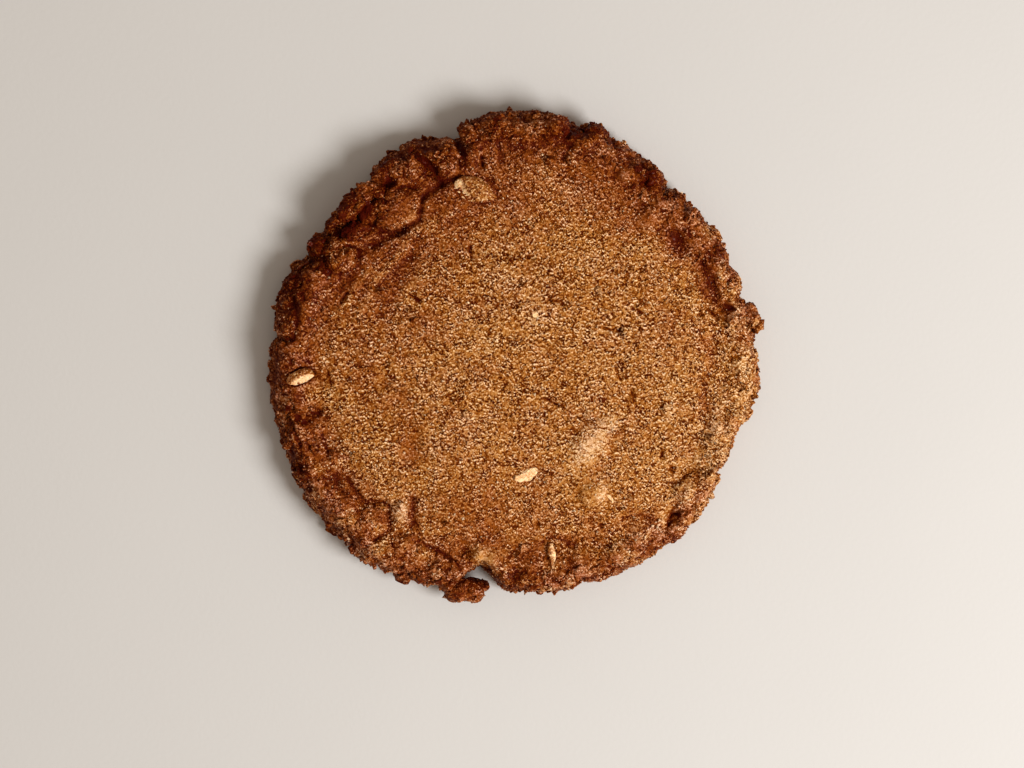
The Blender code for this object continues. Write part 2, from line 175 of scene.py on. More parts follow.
# Chopped cashews: where, how far the middle stands over the crust, size, turn in degrees,
# the way that the broken face looks and how far along it lies (0.5 is the kernel's end),
# how creamy the rest is and which way it pales, and the depth of the gap around the nut.
# On the left nut, the darker top and paler lower side are painted shade from the crust over it
CASHEWS = {
    "cashew_upper": {
        "x": -9.0, "y": 34.6, "rise": -0.8, "length": 9.0, "width": 5.2, "thickness": 4.6, "gap": 0.4,
        "turn": -14, "bend": 0.2, "taper": 0.7, "rough": 0.14, "cut": 0.34, "cream": -1.6,
        "way": (-0.6, -0.3, 0.75), "paler": (-3.4, -2.0),
    },
    "cashew_left": {
        "x": -46.4, "y": -4.5, "rise": 0.5, "length": 6.0, "width": 3.2, "thickness": 3.0, "gap": 0.9,
        "turn": 20, "bend": 0.15, "rough": 0.16, "cut": 0.22, "cream": -0.5,
        "way": (0.1, -0.75, 0.65), "paler": (0.6, -2.0),
    },
    "cashew_front": {
        "x": 1.4, "y": -26.3, "rise": -0.3, "length": 5.6, "width": 3.0, "thickness": 2.6, "gap": 0.15,
        "turn": 15, "bend": -0.35, "waist": 0.25, "rough": 0.46, "cut": 0.22, "cream": 0.8,
        "way": (0.05, -0.1, 1), "paler": (0, 0),
    },
    "cashew_sliver": {
        "x": 7.3, "y": -44.5, "rise": -0.2, "length": 7.2, "width": 2.0, "thickness": 2.3, "gap": 0.12,
        "turn": 99, "bend": 0.25, "waist": 0.45, "rough": 0.24, "cut": 0.26, "cream": -0.62,
        "way": (0.1, -0.3, 1), "paler": (0, -0.5),
    },
    "cashew_curl": {
        "x": 19.6, "y": -31.4, "rise": 0.0, "length": 2.5, "width": 0.8, "thickness": 1.2, "gap": 0.2,
        "turn": -48, "bend": 1.1, "rough": 0.1, "cut": 0.3, "cream": 0.7,
        "way": (0, 0, 1), "paler": (0, 0),
    },
    "cashew_shard": {
        "x": 3.3, "y": 8.3, "rise": -0.2, "length": 2.7, "width": 1.1, "thickness": 1.8, "gap": 0.1,
        "turn": -42, "bend": 0.1, "waist": -0.5, "rough": 0.3, "cut": 0.25, "cream": -0.45,
        "way": (0.3, 0.2, 1), "paler": (0.9, 0),
    },
    "cashew_rim": {
        "x": 7.2, "y": 49.8, "rise": 0.1, "length": 2.7, "width": 1.5, "thickness": 1.6, "gap": 0.3,
        "turn": -12, "bend": 0.1, "rough": 0.25, "cut": 0.24, "cream": 0.3,
        "way": (0, -0.3, 1), "paler": (0, -0.3),
    },
}
for cashew_piece in CASHEWS.values():
    for key in ("x", "y", "rise", "length", "width", "thickness", "gap"):
        cashew_piece[key] *= MM

# The crumb that hangs off the front edge, lumps of the side and clods of the face, each
# with x, y, z, half length, half width, half height and turn in degrees
HANGING_CRUMB = in_metres(LUMP, (
    (-15.6, -48.6, 5, 2.4, 2.6, 3.6, 0), (-13.6, -50.8, 4.8, 3, 2.5, 3.4, 0),
    (-10.6, -51.4, 4.6, 3.2, 2.6, 3, 0), (-8.6, -50.3, 5, 2.1, 1.2, 2.3, 0),
))
SIDE_LUMPS = in_metres(LUMP, (
    (28.8, 37.8, 7.6, 1.9, 1.6, 2, 0), (-11.2, 46.9, 7.4, 2.4, 2.2, 2.8, 0),
    (-4, 49, 7.6, 3.6, 2, 2.8, 0), (15.8, 47.2, 7.2, 2.6, 1.8, 2.6, 0),
    (-30.6, 35.4, 6.8, 2.8, 2.4, 3, 0), (-42.8, 23, 6.2, 2.6, 2.6, 3, 0),
    (-49.4, 7, 5.8, 2.2, 3.4, 3.2, 0), (49.6, 7.6, 6, 2.2, 2.8, 3, 0),
    (34, -37, 6.2, 2.8, 2.6, 3, 0), (-36.4, -36.2, 5.4, 3, 2.8, 2.8, 0),
))
FACE_LUMPS = in_metres(LUMP, (
    (-34.9, 31.7, 8.6, 7, 1.9, 2.5, 45), (-34.4, 26.2, 9.4, 2.9, 1.7, 1.7, 22),
    (-37.6, 20, 9.1, 3.9, 2.4, 1.9, 26), (-31.6, 30, 9.6, 2.8, 1.9, 1.5, 50),
    (-25.6, 30.6, 9.6, 5.4, 3.4, 1.9, 40), (-43.8, 15.4, 8.2, 3.4, 2.4, 2.2, 60),
    (-28, 38.4, 8.6, 3.4, 2, 2.1, 40), (-15, 39.4, 9.4, 2.5, 2.2, 1.8, 40),
    (7.9, 47.9, 9.2, 3, 2.5, 2.2, 0), (-5.5, 47.4, 9, 3.6, 2.6, 2.2, 10),
    (23.4, 37.8, 8.8, 2.2, 1.9, 1.9, 0), (29.2, 37, 8.6, 2.4, 1.5, 1.8, -40),
    (27.8, 28.4, 9.1, 2.7, 3.1, 1.8, 0), (-39.2, -22.4, 8.8, 2.6, 2.2, 1.7, 0),
    (-37.4, -31.8, 8.7, 3.9, 2.8, 2.1, -20), (-31, -35, 8.9, 3.3, 2.4, 1.9, -30),
    (-25.2, -33.6, 8.8, 2, 2.6, 1.7, 0), (-24.2, -41, 8.9, 3.4, 2.9, 2.1, 0),
    (36.4, -30.4, 7.9, 2.6, 3.4, 1.8, -35), (23, -42.4, 7.6, 3.4, 2.4, 2.1, 20),
    (47.6, -5.2, 7.4, 2.4, 3.4, 2.2, 0), (46.4, 7.8, 7.7, 2.2, 3.4, 2.1, 10),
))
LUMP_PIECES = {
    "hanging_crumb": (HANGING_CRUMB, 5, (0, 0)),
    "side_lumps": (SIDE_LUMPS, 4, (0, 0)),
    "face_lumps": (FACE_LUMPS, 5, MARKS_ASIDE),
}
LUMP_ROUGHNESS, LUMP_GRAIN, LUMP_CRAGS = 0.26, 2.4 * MM, 0.5
PARTED = 9
GAP_DEPTH, GAP_REACH = 0.8 * MM, 0.15

# Fine cracks of the crust at known places: half width, depth, points in millimetres
CRACKS = in_metres(GROOVE, (
    (0.35, 0.7, ((-22.8, 12.6), (-21.1, 11.4))), (0.35, 0.7, ((-37.9, 11), (-36.4, 13.2))),
    (0.35, 0.7, ((-10.4, 22.8), (-10.2, 20.2))), (0.40, 0.9, ((-7.8, 41.6), (-7.6, 39.6))),
    (0.30, 0.4, ((-40.6, -3.5), (-40, -6.4))), (0.30, 0.6, ((18.1, 5.2), (21, 4.6), (23.5, 5.6))),
    (0.30, 0.6, ((20.7, -3), (21.8, -5.8))), (0.30, 0.5, ((24.2, -8.4), (24.8, -10.6))),
    (0.30, 0.5, ((5.2, -9.6), (9.5, -11.4))), (0.35, 0.7, ((6.3, 11.4), (9.5, 10.4))),
    (0.45, 1, ((40.7, 8.8), (42.9, 7.2))), (0.40, 0.8, ((-49, -13), (-46.6, -19.2))),
))

# Dark crevices between the clods of the upper left: half width, depth, points in millimetres
CLOD_CREVICES = in_metres(GROOVE, (
    (0.8, 0.7, ((-37.6, 25.6), (-33.6, 29), (-30, 33.6), (-27.4, 36.4))),
    (0.7, 0.9, ((-29.3, 41.2), (-28, 36.9), (-28.5, 32.6))),
    (0.7, 1, ((-23.3, 43.3), (-20.7, 41.2), (-18.1, 39), (-16.4, 36.2))),
    (0.7, 1, ((-13.2, 45.9), (-11.6, 42))), (0.8, 1.1, ((-43.4, 24.9), (-41.8, 20.5), (-40.1, 17.4))),
    (0.8, 1, ((-37.5, 25.7), (-34.1, 26.5), (-31, 27))),
    (0.8, 0.9, ((-31, 22.8), (-28, 25), (-24.6, 26.4))),
    (0.9, 0.9, ((-48.5, 13.5), (-47.2, 8), (-47.8, 3.4))),
    (0.5, 0.7, ((-36.6, -26.6), (-35, -29), (-33.2, -31.5), (-28.6, -31.6))),
    (0.5, 0.7, ((-28, -32.4), (-27.6, -37.5), (-31, -39.7))),
    (0.5, 0.7, ((-21.6, -40.4), (-16.8, -42.6), (-13.2, -45.1))),
    (0.5, 0.6, ((-42, -17), (-40.6, -20.6), (-36.6, -22))),
    (0.4, 0.5, ((31, -29), (34.4, -28.4), (37.6, -26))),
    (0.4, 0.5, ((22.6, -36), (26.4, -35.2), (30, -36.6))),
))

# Soft folds of the crust: x, y, half length, half width, turn in degrees, depth
FOLDS = in_metres(SPOT, (
    (-29, 19.5, 13, 7, 48, 0.55), (-19, 29, 9, 4, 25, 0.40),
    (38, 12, 9, 5, -60, 0.35),
))
FOLD_LENGTH, FOLD_WIDTH = 7.0 * MM, 1.9 * MM

# Small pits of the crust: x, y, half length, half width, turn in degrees, depth
PITS = in_metres(SPOT, (
    (1.9, 20.5, 0.6, 0.6, 0, 0.8), (23.5, 18.3, 0.5, 0.5, 0, 0.7), (26.1, 17.7, 0.5, 0.5, 0, 0.7),
    (25.7, 8.4, 0.5, 0.5, 0, 0.7), (39.2, 7.8, 0.6, 0.6, 0, 0.8), (31, -22.4, 0.6, 1, 0, 0.9),
    (33.4, -25.6, 0.7, 0.9, 0, 1), (17.9, -37.5, 0.6, 0.6, 0, 0.9), (4.1, -36.9, 0.6, 0.6, 0, 0.8),
    (37.3, -14.9, 0.5, 0.5, 0, 0.7), (45.6, 9.4, 0.9, 0.8, 0, 1),
))

# How dark the rim is at these angles in degrees: partly baked brown, partly painted shade on the side
# turned away from the key light
RIM_BROWNING_AND_SHADE = (
    (0, 0.34), (25, 0.55), (50, 0.80), (75, 0.96), (100, 1), (130, 0.98), (160, 1),
    (195, 1), (215, 0.86), (250, 0.74), (275, 0.72), (300, 0.56), (330, 0.38), (360, 0.34),
)

# Spots baked darker: x, y, half length, half width, turn in degrees, how much
BROWN_SPOTS = in_metres(PATCH, (
    (34.1, 23.5, 2.1, 2.8, 0, 0.50), (42, 21.3, 2.5, 2.1, 0, 0.50), (40.7, 15.1, 1.3, 4.2, -15, 0.40),
    (45.1, 9.5, 1.2, 1.1, 0, 0.60), (-39, -26.1, 2.3, 1.7, 0, 0.45), (-27.2, 13.4, 5, 1.9, 65, 0.16),
    (11.1, 46.6, 10.2, 2.2, 0, 0.45), (28.2, 36.3, 2.6, 1.8, 20, 0.60),
    (33.7, -36.4, 1.2, 2.4, -10, 0.75), (-33, 31, 7, 1.6, 44, 0.35),
    (-23, -19.8, 2.6, 5.4, 0, 0.22), (-19, 10, 6, 3, 60, 0.10),
    (-32, 25, 22, 12, 45, 0.22), (-14, 31, 7, 7, 0, 0.12),
    (-3, 34.5, 15, 9, 0, 0.22), (24, 31, 12, 9, 0, 0.06), (-31, -4, 8, 12, 0, 0.16),
    (-33, 15, 5, 6, 40, 0.10), (-47, -12, 3, 7, 10, 0.14),
    (-12, -33, 12, 8, 0, 0.13), (-14.5, 31, 4, 5, 0, 0.08), (24, 28, 9, 7, 0, 0.12),
    (1, -48.5, 14, 3, 0, 0.14), (17, -38, 7, 4, 10, 0.09),
    (-34, -24, 5, 7, 20, 0.06), (41, -21, 3, 6, -10, -0.10),
    (42, -20, 9, 16, -20, -0.10), (46, -6, 5, 9, 0, -0.16),
    (-7.6, -43.8, 3.6, 2.8, 0, -0.30), (-4, -36, 20, 9, 0, 0.07),
    (-28, 24, 7, 7, 0, 0.05), (-9, 47.5, 6, 3.5, 0, 0.18), (-49, -8, 3, 8, 0, 0.10),
    (-30.7, -35.1, 3.6, 3.6, 0, -0.26), (-37.8, -21.6, 4, 4, 0, -0.15),
    (-41.1, -9.2, 4, 4, 0, -0.12), (21.1, 40.4, 5, 3, -20, 0.12),
    (42.8, -17.8, 3, 4, 0, -0.20),
))

# Pale patches, partly dry crust and partly painted highlights at the right rim and lower right: x, y,
# half length, half width, turn in degrees, how much
PALE_AND_HIGHLIGHT_PATCHES = in_metres(PATCH, (
    (15.2, -20.4, 6.4, 3.4, 46, 1), (13.8, -21.6, 2.8, 2.2, 46, 0.5), (19.4, -15.2, 2.8, 2, 40, 0.9),
    (49.8, -4.6, 2.4, 4, 0, 0.6), (34.6, -31, 3.2, 2.4, 20, 0.6), (30.6, -39.2, 3.4, 2.4, 20, 0.7),
    (24, -40, 3, 2, 0, 0.6), (-25.2, -33.6, 1.8, 2.4, 0, 0.7), (-14.8, 39.2, 2.2, 2, 40, 0.3),
    (-41.2, -1.1, 0.9, 1, 0, 0.9), (2.8, 8.6, 3, 2.4, 0, 0.4), (23.2, 37.6, 2.4, 2.2, 0, 0.08),
    (18.1, -30.4, 1.2, 2.4, 0, 1.3), (16.6, -28, 1.8, 0.9, 10, 1.1),
))

# Patches with hardly any grain: x, y, half length, half width, turn in degrees, how much
SMOOTH_PATCHES = in_metres(PATCH, (
    (23.2, 37.6, 2.6, 2.2, 0, 0.6), (27.8, 28.2, 2.9, 3.1, 0, 0.4), (15.7, -30.6, 3.2, 3.2, 0, 0.8),
    (-7.2, -43.8, 2.8, 2.2, 0, 0.8), (-23, -19.8, 2.4, 5.2, 0, 0.4), (14.6, -21, 6, 2.8, 46, 0.6),
    (-8, -35, 16, 9, 0, 0.22),
))

SMOOTHEST = 0.85

# The finer relief that only the finished surface has: size and depth of each kind
CRUMBLE = ((2.8 * MM, 0.11 * MM), (1.4 * MM, 0.14 * MM), (0.8 * MM, 0.18 * MM))
CRAG_SIZE, CRAG_DEPTH = 2.3 * MM, 0.85 * MM
CRACK_SPREAD, CRACK_WANDER = 0.6 * MM, 0.55 * MM

# How close to the floor the pieces come, and how far over the solid's top they stand
FOOT_GAP, TOP_ROOM = 0.1 * MM, 0.25 * MM

# How brown the crust is at least, how much the darkest rim adds, and how far it wavers: how
# strongly and over what size
LEAST_BROWN, RIM_BROWN = 0.12, 0.52
BROWN_WAVES = ((0.10, 9 * MM), (0.05, 3.2 * MM))
TRAY_BROWN, TRAY_EDGE_BROWN = 0.42, 0.28
TRAY_WAVES = ((0.14, 8 * MM), (0.10, 2.8 * MM))

# How unevenly the rim is baked brown, and how much more painted shade the rim's gaps get and painted
# light its crests get
RIM_BLOTCHES = 0.34
BLOTCH_SIZE, WIDE_BLOTCH_SIZE = 3.6 * MM, 7 * MM
RIM_GAPS, RIM_CRESTS = 1.2, 0.1
WALL_PALER = 0.20

# Painted shade in crevices, in the gaps round the nuts and round the face's clods: the crevice depth
# that adds a whole unit to the crust's darkness, and how much the clods' gaps add
CREVICE_SHADE_DEPTH = 3.3 * MM
GAP_SHADE = 0.20
# Painted light on the crests of the soft folds and painted shade in their troughs: how much, and the
# fold height that gives the full amount
FOLD_LIGHT_AND_SHADE, FOLD_HEIGHT = 0.15, 0.3 * MM

# Every number that grows the dough, crumbs and sugar starts from this seed
SEED = 8


def smoothstep(low, high, value):
    share = np.clip((value - low) / (high - low), 0.0, 1.0)
    return share * share * (3 - 2 * share)


def noise_at(points, size):
    """Smooth noise from -1 to 1 that heaves over about this size."""
    return np.array([noise.noise(Vector(point)) for point in points / size])


def domes_at(points, size):
    """Rounded clods about this far apart, with creases between: 1 on top, 0 at the far edge."""
    # Without a seed, noise_vector takes its offsets from the clock
    noise.seed_set(SEED)
    nearest = []
    for point in points / size:
        place = Vector(point)
        nearest.append(noise.voronoi(place + WARP * noise.noise_vector(place * WARP_DETAIL))[0][0])
    return np.maximum(0.0, 1 - np.square(nearest))


def marked(points):
    """Where the points are in the list of the face's marks: x and y."""
    return points[:, 0] - MARKS_ASIDE[0], points[:, 1] - MARKS_ASIDE[1]


def across(x, y, spot):
    """How far out of a spot's oval a place is: 0 in its middle, 1 on its edge."""
    at_x, at_y, half_length, half_width, turn, _ = spot
    c, s = math.cos(math.radians(turn)), math.sin(math.radians(turn))
    along = ((x - at_x) * c + (y - at_y) * s) / half_length
    over = ((y - at_y) * c - (x - at_x) * s) / half_width
    return along * along + over * over


def patches(x, y, spots):
    """How much of the spots there is at each place, soft towards their edges."""
    return sum((spot[-1] * np.exp(-across(x, y, spot)) for spot in spots), np.zeros(len(x)))


def away_from(x, y, corners):
    """How far each place is from the line that runs through the corners."""
    nearest = np.full(len(x), np.inf)
    for (ax, ay), (bx, by) in zip(corners, corners[1:]):
        run_x, run_y = (bx - ax) * MM, (by - ay) * MM
        to_x, to_y = x - ax * MM, y - ay * MM
        share = np.clip((to_x * run_x + to_y * run_y) / (run_x**2 + run_y**2), 0, 1)
        nearest = np.minimum(nearest, np.hypot(to_x - share * run_x, to_y - share * run_y))
    return nearest


def grooves(x, y, lines):
    """How deep the lines cut at each place."""
    cuts = (deep * np.exp(-((away_from(x, y, corners) / half) ** 2)) for half, deep, corners in lines)
    return sum(cuts, np.zeros(len(x)))


def cracked_open(x, y):
    """1 in the cracks and pits at known places, falling to 0 beside them."""
    flat = np.stack([x, y, np.zeros(len(x))], axis=1)
    x = x + CRACK_WANDER * noise_at(flat, 1.3 * MM)
    y = y + CRACK_WANDER * noise_at(flat + RADIUS, 1.3 * MM)
    near = np.clip(patches(x, y, PITS) / (0.8 * MM), 0, 1)
    for _, _, corners in CRACKS:
        near = np.maximum(near, 1 - away_from(x, y, corners) / CRACK_SPREAD)
    return near


def folds(x, y):
    """Soft folds of the crust, stretched along each patch's own turn."""
    out = np.zeros(len(x))
    for spot in FOLDS:
        turn = math.radians(spot[4])
        along = x * math.cos(turn) + y * math.sin(turn)
        over = y * math.cos(turn) - x * math.sin(turn)
        stretched = np.stack([along / FOLD_LENGTH, over / FOLD_WIDTH, np.full(len(x), spot[0])], axis=1)
        out += patches(x, y, (spot,)) * noise_at(stretched, 1.0)
    return out


def outline(angle):
    """How far the cookie reaches at each angle, against the mean radius."""
    reach = np.full(len(angle), RADIUS)
    for at, half_width, out in (*OUTLINE_SWELLS, *NICKS, HANGING_BITE):
        away = (np.degrees(angle) - at + 180) % 360 - 180
        reach += out * np.exp(-((away / half_width) ** 2))
    return reach / RADIUS


def profile():
    """The side line from the crown to the base, finely: distance run, radius and height."""
    corners = [
        (RADIUS, MIDDLE_HEIGHT),
        (RADIUS * 0.75, MIDDLE_HEIGHT),
        (RADIUS * 0.42, FACE_HEIGHT),
        (HOLLOW_INSET * 1.5, FACE_HEIGHT - 0.2 * MM),
        (HOLLOW_INSET, HOLLOW_HEIGHT),
        (RIM_INSET, RIM_HEIGHT),
        (RIM_INSET * 0.6, RIM_HEIGHT - 0.2 * MM),
        (SHOULDER_INSET, SHOULDER_HEIGHT),
        (WAIST_INSET, WAIST_HEIGHT),
        (0.0, SKIRT_HEIGHT),
        (FOOT_INSET, FOOT_HEIGHT),
        (BASE_INSET, 0.0),
    ]
    points = np.array([(RADIUS - inset, height) for inset, height in corners])
    padded = [2 * points[0] - points[1], *points, 2 * points[-1] - points[-2]]
    line = []
    for a, b, c, d in zip(padded, padded[1:], padded[2:], padded[3:]):
        for t in np.linspace(0, 1, 60, endpoint=False):
            bend = (2 * a - 5 * b + 4 * c - d) * t + (3 * b - a - 3 * c + d) * t * t
            line.append(b + ((c - a) + bend) * t / 2)
    line = np.array([*line, points[-1], (0.0, 0.0)])
    run = np.concatenate([[0], np.cumsum(np.hypot(*np.diff(line, axis=0).T))])
    return run, line[:, 0], line[:, 1]


def ring_places(run, underside_from, step, underside_step):
    """Where along the side line the rings of points sit: close on top, wider underneath."""
    count = round(underside_from / step)
    places = list(np.linspace(0, underside_from, count + 1))
    gap = step
    while places[-1] + 1.5 * gap < run[-1]:
        gap = min(gap * 1.3, underside_step)
        places.append(places[-1] + gap)
    return places[1:], count


def zip_rings(inner, outer):
    """Triangles between two rings of points, each given as first index and its angles."""
    (first_a, angles_a), (first_b, angles_b) = inner, outer
    count_a, count_b = len(angles_a), len(angles_b)
    turned_a = [*angles_a, angles_a[0] + math.tau]
    turned_b = [*angles_b, angles_b[0] + math.tau]
    a = b = 0
    faces = []
    while a < count_a or b < count_b:
        here_a, here_b = first_a + a % count_a, first_b + b % count_b
        if b == count_b or (a < count_a and turned_a[a + 1] < turned_b[b + 1]):
            a += 1
            faces.append((here_a, here_b, first_a + a % count_a))
        else:
            b += 1
            faces.append((here_a, here_b, first_b + b % count_b))
    return faces


def turned_grid(step, underside_step, random):
    """Points all over the turned form, as distance run and angle, and their triangles."""
    run, radius, _ = profile()
    places, upper = ring_places(run, run[-2], step, underside_step)
    runs, angles, rings = [0.0], [0.0], []
    for k, place in enumerate(places):
        gap = step if k < upper else place - places[k - 1]
        count = max(6, round(math.tau * np.interp(place, run, radius) / gap))
        turn = (np.arange(count) + random.uniform(0.1, 0.5, count)) * math.tau / count
        rings.append((len(runs), turn))
        shake = 0.22 * gap if k + 1 < upper else 0.0
        runs.extend(place + random.uniform(-shake, shake, count))
        angles.extend(turn)
    first, turn = rings[0]
    faces = [(0, first + k, first + (k + 1) % len(turn)) for k in range(len(turn))]
    for inner, outer in zip(rings, rings[1:]):
        faces += zip_rings(inner, outer)
    first, turn = rings[-1]
    last = len(runs)
    faces += [(last, first + (k + 1) % len(turn), first + k) for k in range(len(turn))]
    runs.append(run[-1])
    angles.append(0.0)
    return np.array(runs), np.array(angles), np.array(faces)


def normals_of(points, faces):
    """Unit normals of the points of a triangle mesh, by area."""
    a, b, c = (points[faces[:, k]] for k in range(3))
    flat = np.cross(b - a, c - a)
    normals = np.zeros_like(points)
    for k in range(3):
        for axis in range(3):
            normals[:, axis] += np.bincount(faces[:, k], flat[:, axis], len(points))
    return normals / np.maximum(np.linalg.norm(normals, axis=1, keepdims=True), 1e-18)


def smoothed(values, faces, rounds):
    """The values after each point has taken its neighbours' mean this many times."""
    ends = np.concatenate([faces[:, [0, 1]], faces[:, [1, 2]], faces[:, [2, 0]]])
    counts = np.bincount(ends[:, 0], minlength=len(values))[:, None]
    for _ in range(rounds):
        sums = [np.bincount(ends[:, 0], column[ends[:, 1]], len(values)) for column in values.T]
        values = np.stack(sums, axis=1) / counts
    return values


def solid_relief(points, share, facing_up):
    """The relief of the solid: how far the dough stands out of its turned form."""
    craggy = smoothstep(CRAGS_START, CRAGS_FULL, share)
    clods = domes_at(points, CLOD_SIZE) - CLOD_LEVEL
    crumbs = CRUMB_SHARE * (domes_at(points, CRUMB_SIZE) - CLOD_LEVEL)
    out = (FACE_CLODS + craggy * (RIM_CLODS - FACE_CLODS)) * (clods + crumbs)
    out += HEAVE * noise_at(points, HEAVE_SIZE)
    x, y = marked(points)
    marks = -patches(x, y, HOLLOWS) - grooves(x, y, CREVICES)
    for spot in CLODS:
        marks += spot[-1] * smoothstep(0.0, CLOD_EDGE, 1 - across(x, y, spot))
    return out + np.maximum(facing_up, 0.0) * marks


def crust_relief(points, share, facing_up):
    """The finer relief of the crust: crumble, crags, cracks, pits and the nuts' sockets."""
    x, y = marked(points)
    on_face = smoothstep(0.1, 0.6, facing_up)
    craggy = smoothstep(CRAGS_START, CRAGS_FULL, share)
    grainy = 1 - np.minimum(patches(x, y, SMOOTH_PATCHES), SMOOTHEST) * on_face
    rugged = 0.3 + 0.7 * rim_browning_and_shade(points)
    out = CRAG_DEPTH * rugged * craggy * grainy * (domes_at(points, CRAG_SIZE) - CLOD_LEVEL)
    for size, depth in CRUMBLE:
        out += depth * grainy * noise_at(points + 7 * RADIUS, size)
    cuts = folds(x, y) - grooves(x, y, CRACKS) - grooves(x, y, CLOD_CREVICES) - patches(x, y, PITS)
    out += on_face * cuts
    return out - on_face * (GAP_DEPTH * lump_gaps(x, y) + nut_gaps(x, y))


def nut_gaps(x, y):
    """How deep the crust is parted round the chopped nuts."""
    depth = np.zeros(len(x))
    for nut in CASHEWS.values():
        spot = (nut["x"], nut["y"], 0.54 * nut["length"], 0.58 * nut["width"], nut["turn"], 1)
        depth += nut["gap"] * np.exp(-(((np.sqrt(across(x, y, spot)) - 0.9) / GAP_REACH) ** 2))
    return depth


def lump_gaps(x, y):
    """1 in the broken gaps round the clods of the face, falling off beside them."""
    flat = np.stack([x, y, np.zeros(len(x))], axis=1)
    bend = 0.22 * noise_at(flat, 3 * MM)
    broken = smoothstep(-0.25, 0.15, noise_at(flat + RADIUS, 4 * MM))
    gap = np.zeros(len(x))
    for at_x, at_y, _, half_length, half_width, _, turn in FACE_LUMPS[:PARTED]:
        edge = np.sqrt(across(x, y, (at_x, at_y, half_length, half_width, turn, 1))) + bend
        gap = np.maximum(gap, np.exp(-(((edge - 1.0) / GAP_REACH) ** 2)))
    return gap * broken


def rim_browning_and_shade(points):
    """How dark the rim is at the angle of each place: partly baked brown, partly painted shade."""
    at, amount = np.array(RIM_BROWNING_AND_SHADE).T
    return np.interp(np.degrees(np.arctan2(points[:, 1], points[:, 0])) % 360, at, amount)


def browned_and_shaded(points, share, facing_up):
    """How dark the crust is at each place, from 0, pale, to 1, nearly burnt: baked brown, with painted
    shade in crevices, in the gaps round nuts and clods, in the troughs of folds and on the rim turned
    away from the key light, and painted light on the folds' crests.
    """
    x, y = marked(points)
    rim = rim_browning_and_shade(points)
    side = 1 - smoothstep(-0.1, 0.7, facing_up)
    edge = smoothstep(0.70, 1.0, share)
    brown = LEAST_BROWN + RIM_BROWN * rim * np.maximum(edge, side * smoothstep(0.9, 0.97, share))
    brown += sum(strength * noise_at(points, size) for strength, size in BROWN_WAVES)
    blotches = noise_at(points, BLOTCH_SIZE) + 0.9 * rim * noise_at(points + RADIUS, WIDE_BLOTCH_SIZE)
    brown += RIM_BLOTCHES * smoothstep(0.78, 0.92, share) * blotches
    brown -= WALL_PALER * (1 - 0.85 * rim) * smoothstep(0.35, -0.05, facing_up)
    # Painted shade: the deeper a crevice or the gap round a nut or clod, the darker the crust there
    crevices = grooves(x, y, CREVICES) + grooves(x, y, CLOD_CREVICES) + nut_gaps(x, y)
    # Painted light on fold crests, painted shade in fold troughs
    paler = FOLD_LIGHT_AND_SHADE * folds(x, y) / FOLD_HEIGHT
    brown += crevices / CREVICE_SHADE_DEPTH + GAP_SHADE * lump_gaps(x, y) - paler
    return brown + patches(x, y, BROWN_SPOTS) * smoothstep(-0.2, 0.4, facing_up)


def browned_below(points, share):
    """How brown the underside is baked: evenly, more to the edge, with the tray's blotches."""
    blotches = sum(strength * noise_at(points, size) for strength, size in TRAY_WAVES)
    return TRAY_BROWN + TRAY_EDGE_BROWN * smoothstep(0.6, 1.0, share) + blotches


def linked(name, data):
    """A new object with this data, put in the scene."""
    made = bpy.data.objects.new(name, data)
    bpy.context.scene.collection.objects.link(made)
    return made


def mesh_object(name, points, faces, smooth=True):
    mesh = bpy.data.meshes.new(name)
    mesh.from_pydata(points.tolist(), [], faces.tolist())
    mesh.update()
    mesh.polygons.foreach_set("use_smooth", np.full(len(faces), smooth))
    return linked(name, mesh)


def kept_in(points):
    """The points, none under the cookie's foot or much over the solid's own top."""
    held = points.copy()
    held[:, 2] = np.clip(points[:, 2], CAD_BOX[0][2] + FOOT_GAP, CAD_BOX[1][2] + TOP_ROOM)
    return held


def store(made, name, values):
    """Keeps one number for each point, for the materials to read by its name."""
    layer = made.data.attributes.new(name, "FLOAT", "POINT")
    layer.data.foreach_set("value", np.asarray(values, np.float32))


def stored(made, name):
    values = np.zeros(len(made.data.vertices), np.float32)
    made.data.attributes[name].data.foreach_get("value", values)
    return values


def points_of(made):
    points = np.zeros(3 * len(made.data.vertices))
    made.data.vertices.foreach_get("co", points)
    return points.reshape(-1, 3)


def faces_of(made):
    corners = np.zeros(3 * len(made.data.polygons), int)
    made.data.polygons.foreach_get("vertices", corners)
    return corners.reshape(-1, 3)


def hollowness(points, faces):
    """How far each place lies in a dent, from about -1 on a crest to 1 in a crease."""
    normals = normals_of(points, faces)
    near, wide = smoothed(points, faces, 3), smoothed(points, faces, 24)
    small = ((near - points) * normals).sum(axis=1) / (0.12 * MM)
    large = ((wide - points) * normals).sum(axis=1) / (0.45 * MM)
    return np.clip(0.45 * small + 0.3 * large, -1.5, 1.5)


